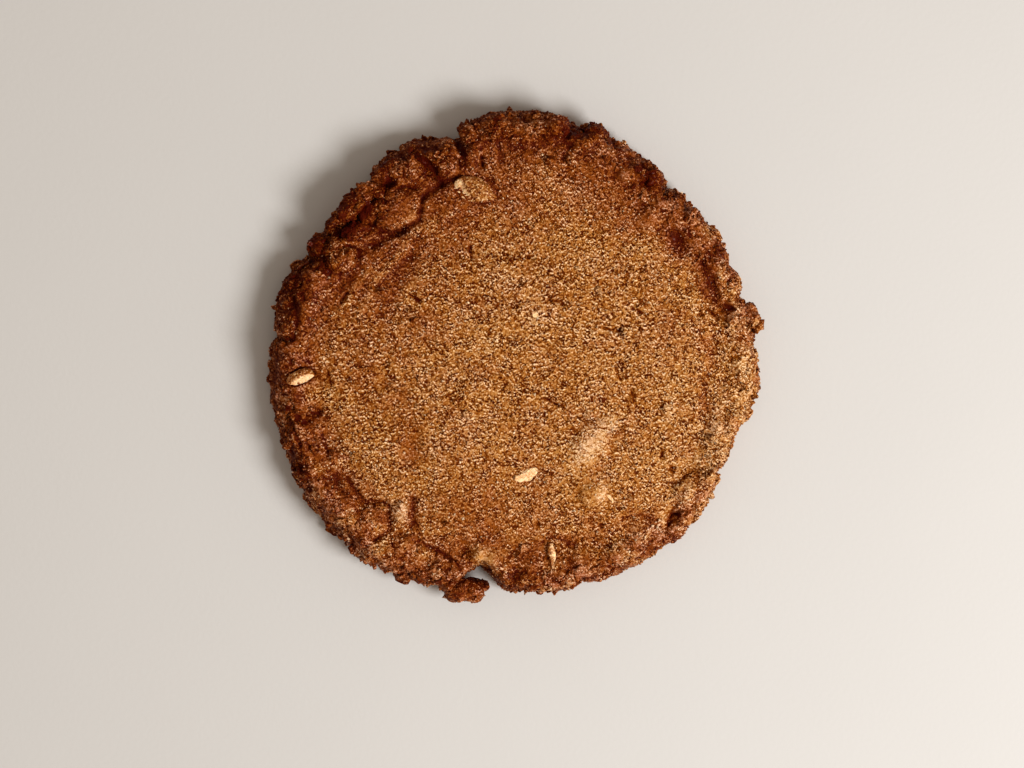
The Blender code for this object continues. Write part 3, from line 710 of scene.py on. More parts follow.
def bake_dough(settings):
    """The whole body of dough, one closed skin, seated where the solid is."""
    random = np.random.default_rng(SEED)
    runs, angles, faces = turned_grid(settings.step, settings.underside_step, random)
    run, radius, height = profile()
    around, up = np.interp(runs, run, radius), np.interp(runs, run, height)
    slope_out = np.interp(runs, run, np.gradient(radius, run))
    slope_up = np.interp(runs, run, np.gradient(height, run))
    steep = np.hypot(slope_out, slope_up)
    facing_out, facing_up = -slope_up / steep, slope_out / steep
    c, s = np.cos(angles), np.sin(angles)
    reach = outline(angles)
    share = around / RADIUS
    points = np.stack([around * c * reach, around * s * reach, up], axis=1)
    turned = np.stack([facing_out * c, facing_out * s, facing_up], axis=1)
    lifted = smoothstep(0.1 * MM, 1.6 * MM, up)
    points += turned * (solid_relief(points, share, facing_up) * lifted)[:, None]
    fused_low, fused_high = points.min(axis=0), points.max(axis=0)
    for x, y, z, half_x, half_y, half_z, _ in (*HANGING_CRUMB, *SIDE_LUMPS):
        middle, half = np.array((x, y, z)), np.array((half_x, half_y, half_z))
        fused_low = np.minimum(fused_low, middle - half)
        fused_high = np.maximum(fused_high, middle + half)
    normals = normals_of(points, faces)
    fine = crust_relief(points, share, normals[:, 2]) * lifted
    points += normals * fine[:, None]
    under = up < 0.05 * MM
    inside = smoothstep(0.0, 6 * MM, RADIUS - BASE_INSET - around)
    pores = np.where(under, inside * smoothstep(0.72, 0.98, domes_at(points, 4.4 * MM)), 0.0)
    points[:, 2] += settings.pore_depth * pores
    normals = normals_of(points, faces)
    made = mesh_object("cookie_dough", points, faces)
    x, y = marked(points)
    on_face = smoothstep(0.0, 0.5, normals[:, 2])
    brown = browned_and_shaded(points, share, normals[:, 2])
    store(made, "browning_and_shade", np.where(under, browned_below(points, share), brown))
    # Painted shade in dents and creases and painted light on crests, from how deep in a dent each place
    # lies, more at the craggy rim
    painted_shade = hollowness(points, faces)
    craggy = smoothstep(CRAGS_START, CRAGS_FULL, share)
    painted_shade *= 1 + craggy * np.where(painted_shade > 0, RIM_GAPS, RIM_CRESTS)
    # Painted shade in the underside's pores
    store(made, "painted_shade", np.where(under, pores, painted_shade))
    store(made, "cracked", np.where(under, 0.0, cracked_open(x, y)))
    # Pale dry patches and painted highlights
    store(made, "pale", np.minimum(patches(x, y, PALE_AND_HIGHLIGHT_PATCHES), 1.3) * on_face)
    smooth = np.minimum(patches(x, y, SMOOTH_PATCHES), 1) * on_face
    store(made, "smoothness", np.where(under, 0.5, smooth))
    low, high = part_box(NODE)
    seat = (np.array(low) + np.array(high) - fused_low - fused_high) / 2
    seat[2] = low.z - points[:, 2].min()
    made.data.transform(Matrix.Translation(seat))
    made["seat"] = seat.tolist()
    return made


def dough_body():
    """The baked dough, which the other pieces sit on."""
    made = bpy.data.objects.get("cookie_dough")
    if made is None:
        raise RuntimeError("Bake the dough first: the other pieces sit on it")
    return made


def icosphere(subdivisions, radius):
    """The points of a round ball, and its triangles."""
    bm = bmesh.new()
    bmesh.ops.create_icosphere(bm, subdivisions=subdivisions, radius=radius)
    points = np.array([vert.co for vert in bm.verts])
    faces = np.array([[vert.index for vert in face.verts] for face in bm.faces])
    bm.free()
    return points, faces


def turned_flat(points, degrees):
    """The points, turned about the vertical."""
    return points @ np.array(Matrix.Rotation(math.radians(degrees), 3, "Z")).T


def lump(x, y, z, half_x, half_y, half_z, turn, subdivisions):
    """A rough round lump of dough: its points, their faces and how high they are in it."""
    round_points, faces = icosphere(subdivisions, 1.0)
    middle = np.array((x, y, z))
    place = turned_flat(round_points * (half_x, half_y, half_z), turn)
    swell = 1 + LUMP_ROUGHNESS * noise_at(middle + place, LUMP_GRAIN)
    points = middle + place * swell[:, None]
    fine = LUMP_CRAGS * CRAG_DEPTH * (domes_at(points, CRAG_SIZE) - CLOD_LEVEL)
    for size, depth in CRUMBLE:
        fine += depth * noise_at(points + 7 * RADIUS, size)
    return points + normals_of(points, faces) * fine[:, None], faces, round_points[:, 2]


def lumps_object(name, lumps, subdivisions, seat, aside):
    """Lumps of dough that grew together, as one piece."""
    all_points, all_faces, painted_shade = [], [], []
    first = 0
    for x, y, *rest in lumps:
        points, faces, height = lump(x + aside[0], y + aside[1], *rest, subdivisions)
        all_points.append(points)
        all_faces.append(faces + first)
        # Painted shade in each lump's dents and on its lower part, where it sits in the crust
        painted_shade.append(hollowness(points, faces) + 0.9 * smoothstep(0.5, 0.0, height))
        first += len(points)
    points, faces = np.concatenate(all_points), np.concatenate(all_faces)
    made = mesh_object(name, kept_in(points + seat), faces)
    normals = normals_of(points, faces)
    share = np.hypot(points[:, 0], points[:, 1]) / RADIUS
    brown = browned_and_shaded(points, share, np.maximum(normals[:, 2], 0.7))
    # The clods themselves don't take the painted shade of the gaps round them
    store(made, "browning_and_shade", brown - GAP_SHADE * lump_gaps(*marked(points)))
    store(made, "painted_shade", np.concatenate(painted_shade))
    for layer in ("pale", "smoothness", "cracked"):
        store(made, layer, np.zeros(len(points)))
    return made


def unit(rows):
    return rows / np.maximum(np.linalg.norm(rows, axis=1, keepdims=True), 1e-18)


def ball(subdivisions, roughness, grain, random):
    """A rough ball about one unit across, for a lump, crumb or grain."""
    points, faces = icosphere(subdivisions, 0.5)
    away = random.uniform(-50, 50, 3)
    swell = 1 + roughness * noise_at(points + away, grain)
    return points * swell[:, None], faces


LAYERS = ("browning_and_shade", "pale", "smoothness", "cracked")


def angular_grain(random):
    """An uneven grain with eight flat faces, about one unit across."""
    points = np.array([(1, 0, 0), (0, 1, 0), (-1, 0, 0), (0, -1, 0), (0, 0, 1), (0, 0, -1)]) * 0.5
    around = (0, 1, 2, 3)
    upper = [(k, (k + 1) % 4, 4) for k in around]
    faces = np.array(upper + [((k + 1) % 4, k, 5) for k in around])
    return points * random.uniform(0.7, 1.3, (6, 1)), faces


def strewn(grounds, count, gaps, chance, random):
    """Places all over the grounds: no two closer than a gap, kept as often as chance says.

    Returns the places, the way that the ground faces there and the ground's own layers.
    """
    corners, normals, layers, weights = [], [], [], []
    for ground in grounds:
        points, faces = points_of(ground), faces_of(ground)
        at = points[faces]
        corners.append(at)
        normals.append(normals_of(points, faces)[faces])
        layers.append(np.stack([stored(ground, name)[faces] for name in LAYERS], axis=2))
        weights.append(np.linalg.norm(np.cross(at[:, 1] - at[:, 0], at[:, 2] - at[:, 0]), axis=1))
    corners, normals, layers = map(np.concatenate, (corners, normals, layers))
    weights = np.concatenate(weights)
    chosen = random.choice(len(weights), count, p=weights / weights.sum())
    shares = random.dirichlet((1, 1, 1), count)[:, :, None]
    places = (corners[chosen] * shares).sum(axis=1)
    facing = unit((normals[chosen] * shares).sum(axis=1))
    held = (layers[chosen] * shares).sum(axis=1)
    kept = random.uniform(size=count) < chance(places, facing, held)
    places, facing, held = places[kept], facing[kept], held[kept]
    own_gap = gaps[0] * (gaps[1] / gaps[0]) ** (random.uniform(0, 1, len(places)) ** 1.7)
    free = spaced(places, own_gap, gaps[1])
    return places[free], facing[free], held[free], own_gap[free]


def spaced(places, gaps, widest):
    """The places that keep their own gap from every one that was kept before them."""
    taken, kept = {}, []
    squares = np.floor(places / widest).astype(int).tolist()
    around = list(itertools.product((-1, 0, 1), repeat=3))
    for index, ((x, y, z), (px, py, pz), gap) in enumerate(zip(squares, places.tolist(), gaps)):
        near = (other for i, j, k in around for other in taken.get((x + i, y + j, z + k), ()))
        if all((ox - px) ** 2 + (oy - py) ** 2 + (oz - pz) ** 2 >= gap * gap for ox, oy, oz in near):
            taken.setdefault((x, y, z), []).append((px, py, pz))
            kept.append(index)
    return np.array(kept)


def piled(name, shapes, places, facing, sizes, lean, random):
    """One mesh of many small bits, each in one of the shapes, facing out of the ground.

    Returns the object, and for each of its points the bit it belongs to and how high
    over that bit's middle it is, as a share of the bit's own height.
    """
    out = unit(facing + lean * random.normal(size=facing.shape))
    aside = unit(np.cross(out, random.normal(size=out.shape)))
    frames = np.stack([aside, np.cross(out, aside), out], axis=2)
    which = random.integers(len(shapes), size=len(places))
    all_points, all_faces, owners, heights = [], [], [], []
    first = 0
    for k, (points, faces) in enumerate(shapes):
        mine = np.flatnonzero(which == k)
        scaled = points[None] * sizes[mine][:, None]
        turned = np.einsum("nij,nkj->nki", frames[mine], scaled) + places[mine][:, None]
        all_points.append(turned.reshape(-1, 3))
        starts = first + np.arange(len(mine)) * len(points)
        all_faces.append((faces[None] + starts[:, None, None]).reshape(-1, 3))
        first += len(mine) * len(points)
        owners.append(np.repeat(mine, len(points)))
        heights.append(np.tile(points[:, 2] * 2, len(mine)))
    points, faces = kept_in(np.concatenate(all_points)), np.concatenate(all_faces)
    made = mesh_object(name, points, faces, smooth=False)
    return made, np.concatenate(owners), np.concatenate(heights)


def keep_layers(made, owners, held, painted_shade, random):
    """Gives every bit the ground's layers where it lies, the painted shade that it is given and a tint
    of its own.
    """
    for k, name in enumerate(LAYERS):
        store(made, name, held[owners, k])
    store(made, "painted_shade", painted_shade)
    store(made, "tint", random.uniform(0, 1, len(held))[owners])


def scatter_bits(name, grounds, count, widths, shapes, random, chance, sink, lean, smooth):
    """Bits of crust of many sizes, stuck to the grounds and partly sunk in them."""
    places, facing, held, gaps = strewn(grounds, count, widths, chance, random)
    sizes = gaps[:, None] * random.uniform(0.7, 1.6, (len(gaps), 3)) * (1, 1, 0.8)
    places = places + facing * (sizes[:, 2] * random.uniform(*sink, len(gaps)))[:, None]
    made, owners, heights = piled(name, shapes, places, facing, sizes, lean, random)
    made.data.polygons.foreach_set("use_smooth", np.full(len(made.data.polygons), smooth))
    # Painted shade on the lower part of each bit and painted light on its top
    keep_layers(made, owners, held, smoothstep(0.7, -0.5, heights) * 1.6 - 0.7, random)
    return made


def scatter_sugar(ground, settings, chance, random):
    """Crystals of sugar that melted half into the crust."""
    widths = (settings.crystal_size * 0.7, settings.crystal_size * 1.6)
    places, facing, held, gaps = strewn([ground], settings.crystals, widths, chance, random)
    sizes = gaps[:, None] * random.uniform(0.55, 1.25, (len(gaps), 3))
    places = places + facing * (0.45 * settings.lift * random.uniform(0, 1, len(gaps)))[:, None]
    shapes = [angular_grain(random) for _ in range(12)]
    made, owners, heights = piled("sugar_crystals", shapes, places, facing, sizes, 3.0, random)
    keep_layers(made, owners, held, np.zeros(len(heights)), random)
    return made


class NodeBuilder:
    """Adds shader nodes to a tree and joins them. Its methods return an output socket."""

    def __init__(self, tree):
        self.tree = tree

    def fill(self, sockets, inputs):
        """Joins each value that is a socket, and sets any other as the socket's own value."""
        for name, value in dict(inputs).items():
            if isinstance(value, bpy.types.NodeSocket):
                self.tree.links.new(value, sockets[name])
            else:
                sockets[name].default_value = value

    def node(self, kind, inputs=(), **settings):
        made = self.tree.nodes.new(kind)
        for name, value in settings.items():
            setattr(made, name, value)
        self.fill(made.inputs, inputs)
        return made

    def add(self, kind, inputs=(), out=0, **settings):
        return self.node(kind, inputs, **settings).outputs[out]

    def maths(self, operation, *values):
        return self.add("ShaderNodeMath", enumerate(values), operation=operation)

    def times(self, a, b):
        return self.maths("MULTIPLY", a, b)

    def vectors(self, operation, *values):
        return self.add("ShaderNodeVectorMath", enumerate(values), operation=operation)

    def total(self, base, *terms):
        """The base plus each value times its share."""
        for value, share in terms:
            base = self.maths("MULTIPLY_ADD", value, share, base)
        return base

    def ranged(self, value, low, high, to_low=0.0, to_high=1.0):
        """The value moved from the first range to the second, and held inside it."""
        names = ("Value", "From Min", "From Max", "To Min", "To Max")
        return self.add("ShaderNodeMapRange", zip(names, (value, low, high, to_low, to_high)))

    def mixed(self, factor, a, b, blend="MIX"):
        return self.add("ShaderNodeMix", {0: factor, 6: a, 7: b}, 2, data_type="RGBA", blend_type=blend)

    def colour(self, *parts):
        return self.add("ShaderNodeCombineColor", enumerate(parts))

    def attribute(self, name):
        return self.add("ShaderNodeAttribute", out="Fac", attribute_name=name)

    def place(self):
        return self.add("ShaderNodeTexCoord", out="Object")

    def clouds(self, place, scale, detail=2.0, rough=0.5, out="Fac", **inputs):
        """Noise at this scale, of the fourth dimension where inputs say how far along W it is."""
        inputs.update(Vector=place, Scale=scale, Detail=detail, Roughness=rough)
        dimensions = "4D" if "W" in inputs else "3D"
        return self.add("ShaderNodeTexNoise", inputs, out, noise_dimensions=dimensions)

    def noise(self, place, size, detail=2.0):
        return self.clouds(place, 1 / size, detail)

    def bumped(self, height, distance):
        bump = {"Height": height, "Distance": distance, "Strength": 1.0}
        return self.add("ShaderNodeBump", bump, "Normal")


SOCKETS = {float: "NodeSocketFloat", tuple: "NodeSocketColor", type(None): "NodeSocketVector"}


def new_group(name, inputs, outputs):
    """An empty node group with its named sockets: tree, builder, sources and results."""
    tree = bpy.data.node_groups.new(name, "ShaderNodeTree")
    for label, default in inputs.items():
        socket = tree.interface.new_socket(label, in_out="INPUT", socket_type=SOCKETS[type(default)])
        if default is not None:
            socket.default_value = default
    for label, kind in outputs.items():
        tree.interface.new_socket(label, in_out="OUTPUT", socket_type=kind)
    nodes = NodeBuilder(tree)
    return tree, nodes, nodes.node("NodeGroupInput").outputs, nodes.node("NodeGroupOutput").inputs


# The grain, in crumbs: how far its cells wander, and how many of each kind there are
BEND, CELLS, GRAINS = 0.25 * MM, 3.2, 3.0
# How far off the same relief is taken again, to paint light on one edge of each crumb and stroke and
# shade on the other
ASIDE = (0.14 * MM, -0.07 * MM, 0.0)
ACROSS = (0.05 * MM, 0.28 * MM, 0.0)
# How many crumbs of each kind there are and how strongly light and shade are painted on their edges;
# then the strokes, which get painted edge light too
CRUMB_EDGES = ((1.4, 0.5), (2.5, 0.55), (4.4, 0.50))
STROKES, STROKE_WIDTH, STROKE = 1.25, 0.13, 1.15
# How much of the grain tone is painted edge light and shade, random facet tone and fine noise
EDGE, FACET, FINE = 0.9, 0.6, 0.35
# The gaps between crumbs, which the crust darkens as painted shade: how many, how wide and which of the
# noise's many cuts
LONG_GAPS, SHORT_GAPS = (0.34, 0.030, 1.0), (1.0, 0.080, 4.0)


def build_sugary_grain(name):
    """The crumbly grain of a sugary crust: short gaps, pale specks that are partly painted highlights,
    a grain tone with painted light and shade on the crumbs' edges, and height.
    """
    tree, nodes, source, result = new_group(
        name,
        {"Place": None, "Crumb Size": 1.0 * MM},
        dict.fromkeys(("Gap", "Speck", "Grain", "Height"), "NodeSocketFloat"),
    )
    place = source["Place"]
    scale = nodes.maths("DIVIDE", 1.0, source["Crumb Size"])

    def clouds(place, finer, detail, rough, **inputs):
        return nodes.clouds(place, nodes.times(scale, finer), detail, rough, **inputs)

    def short_lines(place, finer, width, away):
        """Thin winding lines that break off and taper."""
        wave = nodes.maths("SUBTRACT", clouds(place, finer, 2.0, 0.5, W=away), 0.5)
        line = nodes.ranged(nodes.maths("ABSOLUTE", wave), 0.0, width, 1.0, 0.0)
        there = nodes.ranged(clouds(place, 1.4 * finer, 0.0, 0.5, W=away + 7), 0.46, 0.60)
        return nodes.ranged(nodes.times(line, there), 0.25, 0.50)

    def crumbs(place, finer):
        """Flat-topped crumbs with steep sides: 1 on top, 0 between them."""
        return nodes.ranged(clouds(place, finer, 1.5, 0.6), 0.40, 0.60)

    aside, across = nodes.vectors("ADD", place, ASIDE), nodes.vectors("ADD", place, ACROSS)
    heaps = [crumbs(place, finer) for finer, _ in CRUMB_EDGES]
    painted_edge_light = 0.0
    for heap, (finer, share) in zip(heaps, CRUMB_EDGES):
        painted_edge_light = nodes.total(painted_edge_light, (heap, share), (crumbs(aside, finer), -share))
    strokes = [short_lines(at, STROKES, STROKE_WIDTH, 11.0) for at in (place, across)]
    painted_edge_light = nodes.total(painted_edge_light, (strokes[0], -STROKE), (strokes[1], STROKE))
    gaps = [short_lines(place, *kind) for kind in (LONG_GAPS, SHORT_GAPS)]
    gap = nodes.maths("MAXIMUM", *gaps)
    bent = nodes.clouds(place, nodes.times(scale, 2.0), 0.0, out="Color")
    shift = nodes.vectors("SUBTRACT", bent, (0.5, 0.5, 0.5))
    warped = nodes.vectors("MULTIPLY_ADD", shift, (BEND, BEND, BEND), place)
    cells = nodes.add(
        "ShaderNodeTexVoronoi", {"Vector": warped, "Scale": nodes.times(scale, CELLS)}, "Color",
    )
    facet = nodes.add("ShaderNodeSeparateColor", {"Color": cells})
    grain = clouds(place, GRAINS, 1.0, 0.6, W=2.0)
    fine = nodes.total(
        0.0, (painted_edge_light, EDGE), (nodes.maths("SUBTRACT", facet, 0.5), FACET),
        (nodes.ranged(grain, 0.25, 0.75, -1.0, 1.0), FINE),
    )
    height = nodes.total(0.0, (heaps[0], 0.22), (heaps[1], 0.12), (grain, 0.10), (gap, -0.4))
    # The brightest of the grain tone, painted edge highlights among it, for pale specks and painted
    # highlights
    speck = nodes.ranged(fine, 0.55, 0.85)
    nodes.fill(result, {"Gap": gap, "Speck": speck, "Grain": fine, "Height": height})
    return tree


# The tones between which the crust turns into each paler colour
OVEN_STEPS = (
    (-0.25, 0.08, "Brown"), (0.08, 0.36, "Amber"), (0.36, 0.60, "Golden"), (0.60, 1.05, "Cream"),
)


def build_oven_colour(name):
    """The colour of a crust at each tone, from 0, burnt, to 1, dry and creamy."""
    tree, nodes, source, result = new_group(
        name,
        {
            "Tone": 0.5, "Mottle": 0.5, "Rosiness": 2.3, "Burnt": (0.06, 0.006, 0.001, 1),
            "Brown": (0.15, 0.026, 0.002, 1), "Amber": (0.27, 0.075, 0.01, 1),
            "Golden": (0.46, 0.17, 0.045, 1), "Cream": (0.88, 0.50, 0.26, 1),
        },
        {"Color": "NodeSocketColor"},
    )
    tone = source["Tone"]
    colour = source["Burnt"]
    for low, high, paler in OVEN_STEPS:
        colour = nodes.mixed(nodes.ranged(tone, low, high), colour, source[paler])
    share = nodes.times(source["Mottle"], nodes.ranged(tone, 0.40, 0.80, 1.0, 0.20))
    tint = nodes.mixed(share, (1, 1, 1, 1), nodes.colour(1.0, 1.0, source["Rosiness"]))
    nodes.fill(result, {"Color": nodes.mixed(1.0, colour, tint, blend="MULTIPLY")})
    return tree


GROUPS = {"Sugary Grain": build_sugary_grain, "Oven Colour": build_oven_colour}


def use_group(nodes, name, inputs):
    """Places the node group of this name, which is built once, with these inputs."""
    tree = bpy.data.node_groups.get(name) or GROUPS[name](name)
    return nodes.node("ShaderNodeGroup", node_tree=tree, inputs=inputs).outputs


def new_material(name):
    material = bpy.data.materials.new(name)
    material.use_nodes = True
    shader = material.node_tree.nodes["Principled BSDF"]
    return material, NodeBuilder(material.node_tree), shader.inputs


def crust_colours(settings):
    """What the Oven Colour group takes from the dough's settings."""
    names = ("burnt", "brown", "amber", "golden", "cream")
    colours = {name.title(): (*getattr(settings, name), 1) for name in names}
    return {**colours, "Rosiness": settings.rosiness}


def crust_material(settings, name, own_tint):
    """Baked crust: browned and mottled, with painted shade in its gaps, cracks and dents, pale specks
    that are partly painted highlights, painted light and shade on crumb edges, and small glints.
    """
    material, nodes, shader = new_material(name)
    place = nodes.place()
    layers = ("browning_and_shade", "painted_shade", "pale", "smoothness", "cracked")
    browning_and_shade, painted_shade, pale, smooth, cracked = map(nodes.attribute, layers)
    grain = use_group(nodes, "Sugary Grain", {"Place": place, "Crumb Size": settings.crumb_size})
    calm = nodes.ranged(browning_and_shade, 0.10, 0.50, 1.0, 0.64)
    patchy = nodes.ranged(nodes.noise(place, 2.6 * MM), 0.36, 0.64, 0.60, 1.25)
    rough = nodes.times(nodes.times(calm, patchy), nodes.ranged(smooth, 0.0, 1.0, 1.0, 0.25))
    wide, narrow = nodes.noise(place, 9 * MM), nodes.noise(place, 1.7 * MM)
    # The tone: painted shade darkens it in dents, in the gaps between crumbs and in cracks and pits,
    # and the brown layer carries more; painted light brightens it on crests, specks and the light
    # painted on crumb edges, and in pale patches that are partly painted highlights
    tone = nodes.total(
        settings.tone,
        (browning_and_shade, -0.68), (painted_shade, -0.15), (nodes.times(painted_shade, browning_and_shade), -0.06), (pale, 0.22),
        (nodes.times(grain["Gap"], rough), -0.42), (nodes.times(grain["Speck"], rough), 0.20),
        (nodes.ranged(nodes.total(cracked, (grain["Grain"], 0.3)), 0.45, 0.85), -0.40),
        (nodes.times(grain["Grain"], rough), 0.32), (nodes.maths("SUBTRACT", narrow, 0.5), 0.10),
    )
    if own_tint:
        tone = nodes.total(tone, (nodes.ranged(nodes.attribute("tint"), 0.0, 1.0, -0.5, 0.5), 0.26))
    mottle = nodes.total(
        -0.12, (nodes.ranged(nodes.maths("ADD", wide, narrow), 0.8, 1.2, 0.0, 0.35), 1.0),
        (nodes.ranged(browning_and_shade, 0.15, 0.55, 0.0, 0.75), 1.0), (pale, 0.05),
        (nodes.ranged(browning_and_shade, 0.55, 0.90, 0.0, 0.45), -1.0),
    )
    colours = {"Tone": tone, "Mottle": mottle, **crust_colours(settings)}
    colour = use_group(nodes, "Oven Colour", colours)["Color"]
    glaze = nodes.noise(place, 2.4 * MM, 3.0)
    baked = nodes.ranged(browning_and_shade, 0.30, 0.80, 0.04, 0.15)
    raised = nodes.ranged(grain["Grain"], 0.15, 0.6)
    nodes.fill(shader, {
        "Base Color": colour,
        "Roughness": nodes.ranged(glaze, 0.35, 0.65, 0.30, 0.62),
        "Specular IOR Level": 0.08,
        "Specular Tint": (1.0, 0.62, 0.38, 1),
        "Coat Weight": nodes.times(baked, raised),
        "Coat Roughness": 0.22,
        "Normal": nodes.bumped(nodes.times(grain["Height"], rough), settings.bump),
    })
    return material


def sugar_material(settings):
    """Crystals of sugar stained by the crust under them."""
    material, nodes, shader = new_material("melted sugar")
    browning_and_shade, tint = nodes.attribute("browning_and_shade"), nodes.attribute("tint")
    baked = nodes.ranged(browning_and_shade, 0.25, 1.0)
    stain = nodes.mixed(baked, (*settings.crystal, 1), (*settings.stained, 1))
    shade = nodes.colour(*[nodes.ranged(tint, 0.0, 1.0, 0.55, 1.15)] * 3)
    nodes.fill(shader, {
        "Base Color": nodes.mixed(1.0, stain, shade, blend="MULTIPLY"),
        "Roughness": nodes.ranged(tint, 0.0, 1.0, 0.60, 0.35),
        "Specular IOR Level": 0.2,
    })
    return material


def cashew_material(settings, dough):
    """Roasted cashew: cream and mealy where it broke, and crumbed with dough elsewhere."""
    material, nodes, shader = new_material("roasted cashew")
    place = nodes.place()
    grain = use_group(nodes, "Sugary Grain", {"Place": place, "Crumb Size": 1.0 * MM})
    blotch = nodes.noise(place, 1.1 * MM, 3.0)
    flesh_share = nodes.total(
        0.0, (nodes.attribute("cream"), 1.0), (nodes.maths("SUBTRACT", blotch, 0.5), 0.6),
    )
    cream = nodes.ranged(flesh_share, 0.30, 0.62)
    # Painted shade in dents and in the gaps of the clinging dough, painted light on its specks and
    # painted edge light on its crumbs
    tone = nodes.total(
        settings.crumbed, (grain["Grain"], 0.25), (grain["Speck"], 0.15), (grain["Gap"], -0.15),
        (nodes.attribute("painted_shade"), -0.18),
    )
    ochre = nodes.ranged(blotch, 0.50, 1.30)
    crumbed = use_group(nodes, "Oven Colour", {"Tone": tone, "Mottle": ochre, **crust_colours(dough)})
    mealy = nodes.ranged(nodes.total(grain["Grain"], (blotch, 3.0)), 0.8, 2.0)
    flesh = nodes.mixed(mealy, (*settings.rosy, 1), (*settings.cream, 1))
    lift = nodes.total(nodes.times(blotch, 0.5), (grain["Height"], 0.5))
    nodes.fill(shader, {
        "Base Color": nodes.mixed(cream, crumbed["Color"], flesh),
        "Roughness": nodes.ranged(cream, 0.0, 1.0, 0.40, 0.60),
        "Specular IOR Level": 0.2,
        "Normal": nodes.bumped(lift, 0.25 * MM),
        "Subsurface Weight": 0.15,
        "Subsurface Radius": (1.2 * MM, 0.6 * MM, 0.3 * MM),
        "Subsurface Scale": 1.0,
    })
    return material


def crust_height(ground, x, y, reach):
    """How high the crust is round a place, seen from above."""
    points = points_of(ground)
    near = np.hypot(points[:, 0] - x, points[:, 1] - y) < reach
    return points[near & (points[:, 2] > WAIST_HEIGHT), 2].mean()


def cashew(name, ground, material):
    """A chopped cashew: part of a bent kernel, cut off where it broke, sunk in the crust."""
    nut = CASHEWS[name]
    points, faces = icosphere(5, 0.5)
    away = np.array((nut["x"], nut["y"], 0)) / MM
    lumpy = noise_at(points + away, 0.42) + 0.4 * noise_at(points - away, 0.16)
    points *= (1 + nut["rough"] * lumpy)[:, None]
    way = np.array(nut["way"]) / np.linalg.norm(nut["way"])
    beyond = points @ way - nut["cut"]
    broken = smoothstep(0.0, 0.03, beyond)
    mealy = 0.05 * noise_at(points + away, 0.10) + 0.06 * noise_at(points - away, 0.25)
    points -= way * (0.92 * np.maximum(beyond, 0) + broken * mealy)[:, None]
    # How creamy each place is: the broken face, the nut's own cream and a side that pales; on the left
    # nut the darker top is painted shade from the crust over it
    cream = broken + nut["cream"] + points[:, :2] @ nut["paler"]
    points[:, 1] *= 1 - nut.get("waist", 0) * np.exp(-(((points[:, 0] + 0.06) / 0.16) ** 2))
    points[:, 1] *= 1 - nut.get("taper", 0) * points[:, 0]
    points[:, 1] += nut["bend"] * (0.12 - points[:, 0] ** 2)
    points = turned_flat(points * (nut["length"], nut["width"], nut["thickness"]), nut["turn"])
    seat = np.array(ground["seat"])
    x, y = nut["x"] + seat[0] + MARKS_ASIDE[0], nut["y"] + seat[1] + MARKS_ASIDE[1]
    points += (x, y, crust_height(ground, x, y, 0.5 * nut["length"]) + nut["rise"])
    made = mesh_object(name, kept_in(points), faces)
    store(made, "cream", np.clip(cream, 0, 1))
    # Painted shade in the nut's dents
    store(made, "painted_shade", hollowness(points, faces))
    made.data.materials.append(material)
    return made


def floor_material(settings):
    """Matt pale paper with a faint tooth."""
    material, nodes, shader = new_material("pale paper")
    place = nodes.place()
    clouds = nodes.ranged(nodes.noise(place, 60 * MM, 4.0), 0.3, 0.7)
    shade = (0.985 * part for part in settings.floor_colour)
    nodes.fill(shader, {
        "Base Color": nodes.mixed(clouds, (*settings.floor_colour, 1), (*shade, 1)),
        "Roughness": 0.85,
        "Normal": nodes.bumped(nodes.noise(place, 1.2 * MM), 0.03 * MM),
    })
    return material


# The floor, a hair under the cookie's foot, and the light
FLOOR_REACH, FLOOR_LEVEL = 2.0, -0.03 * MM
KEY_DIRECTION, KEY_DISTANCE, KEY_SIZE = (0.62, -0.30, 0.80), 0.8, 0.40
SKY_COLOUR = (1.0, 0.88, 0.76, 1)


def looking_from(place, back):
    """The stance of a camera or light at this place whose back points this way."""
    right = Vector((0, 1, 0)).cross(back).normalized()
    turned = Matrix((right, back.cross(right), back)).transposed().to_4x4()
    return Matrix.Translation(place) @ turned


def soft_light(name, aim, direction, distance, size, power):
    light = bpy.data.lights.new(name, "AREA")
    light.shape = "DISK"
    light.size = size
    light.energy = power
    back = Vector(direction).normalized()
    linked(name, light).matrix_world = looking_from(aim + back * distance, back)


def share_of(places, seat):
    """How far out the places are, against the outline at their angle."""
    x, y = places[:, 0] - seat[0], places[:, 1] - seat[1]
    return np.hypot(x, y) / (RADIUS * outline(np.arctan2(y, x)))


def length(name, description, default):
    return FloatProperty(
        name=name, description=description, default=default, unit="LENGTH", precision=5,
    )


def number(name, description, default):
    return FloatProperty(name=name, description=description, default=default)


def angle(name, description, degrees):
    return FloatProperty(
        name=name, description=description, default=math.radians(degrees), unit="ROTATION",
    )


def tried(name, description, default):
    return IntProperty(name=name, description=description, default=default)


def colour(name, description, default):
    return FloatVectorProperty(
        name=name, description=description, default=default, subtype="COLOR", min=0, max=1,
    )


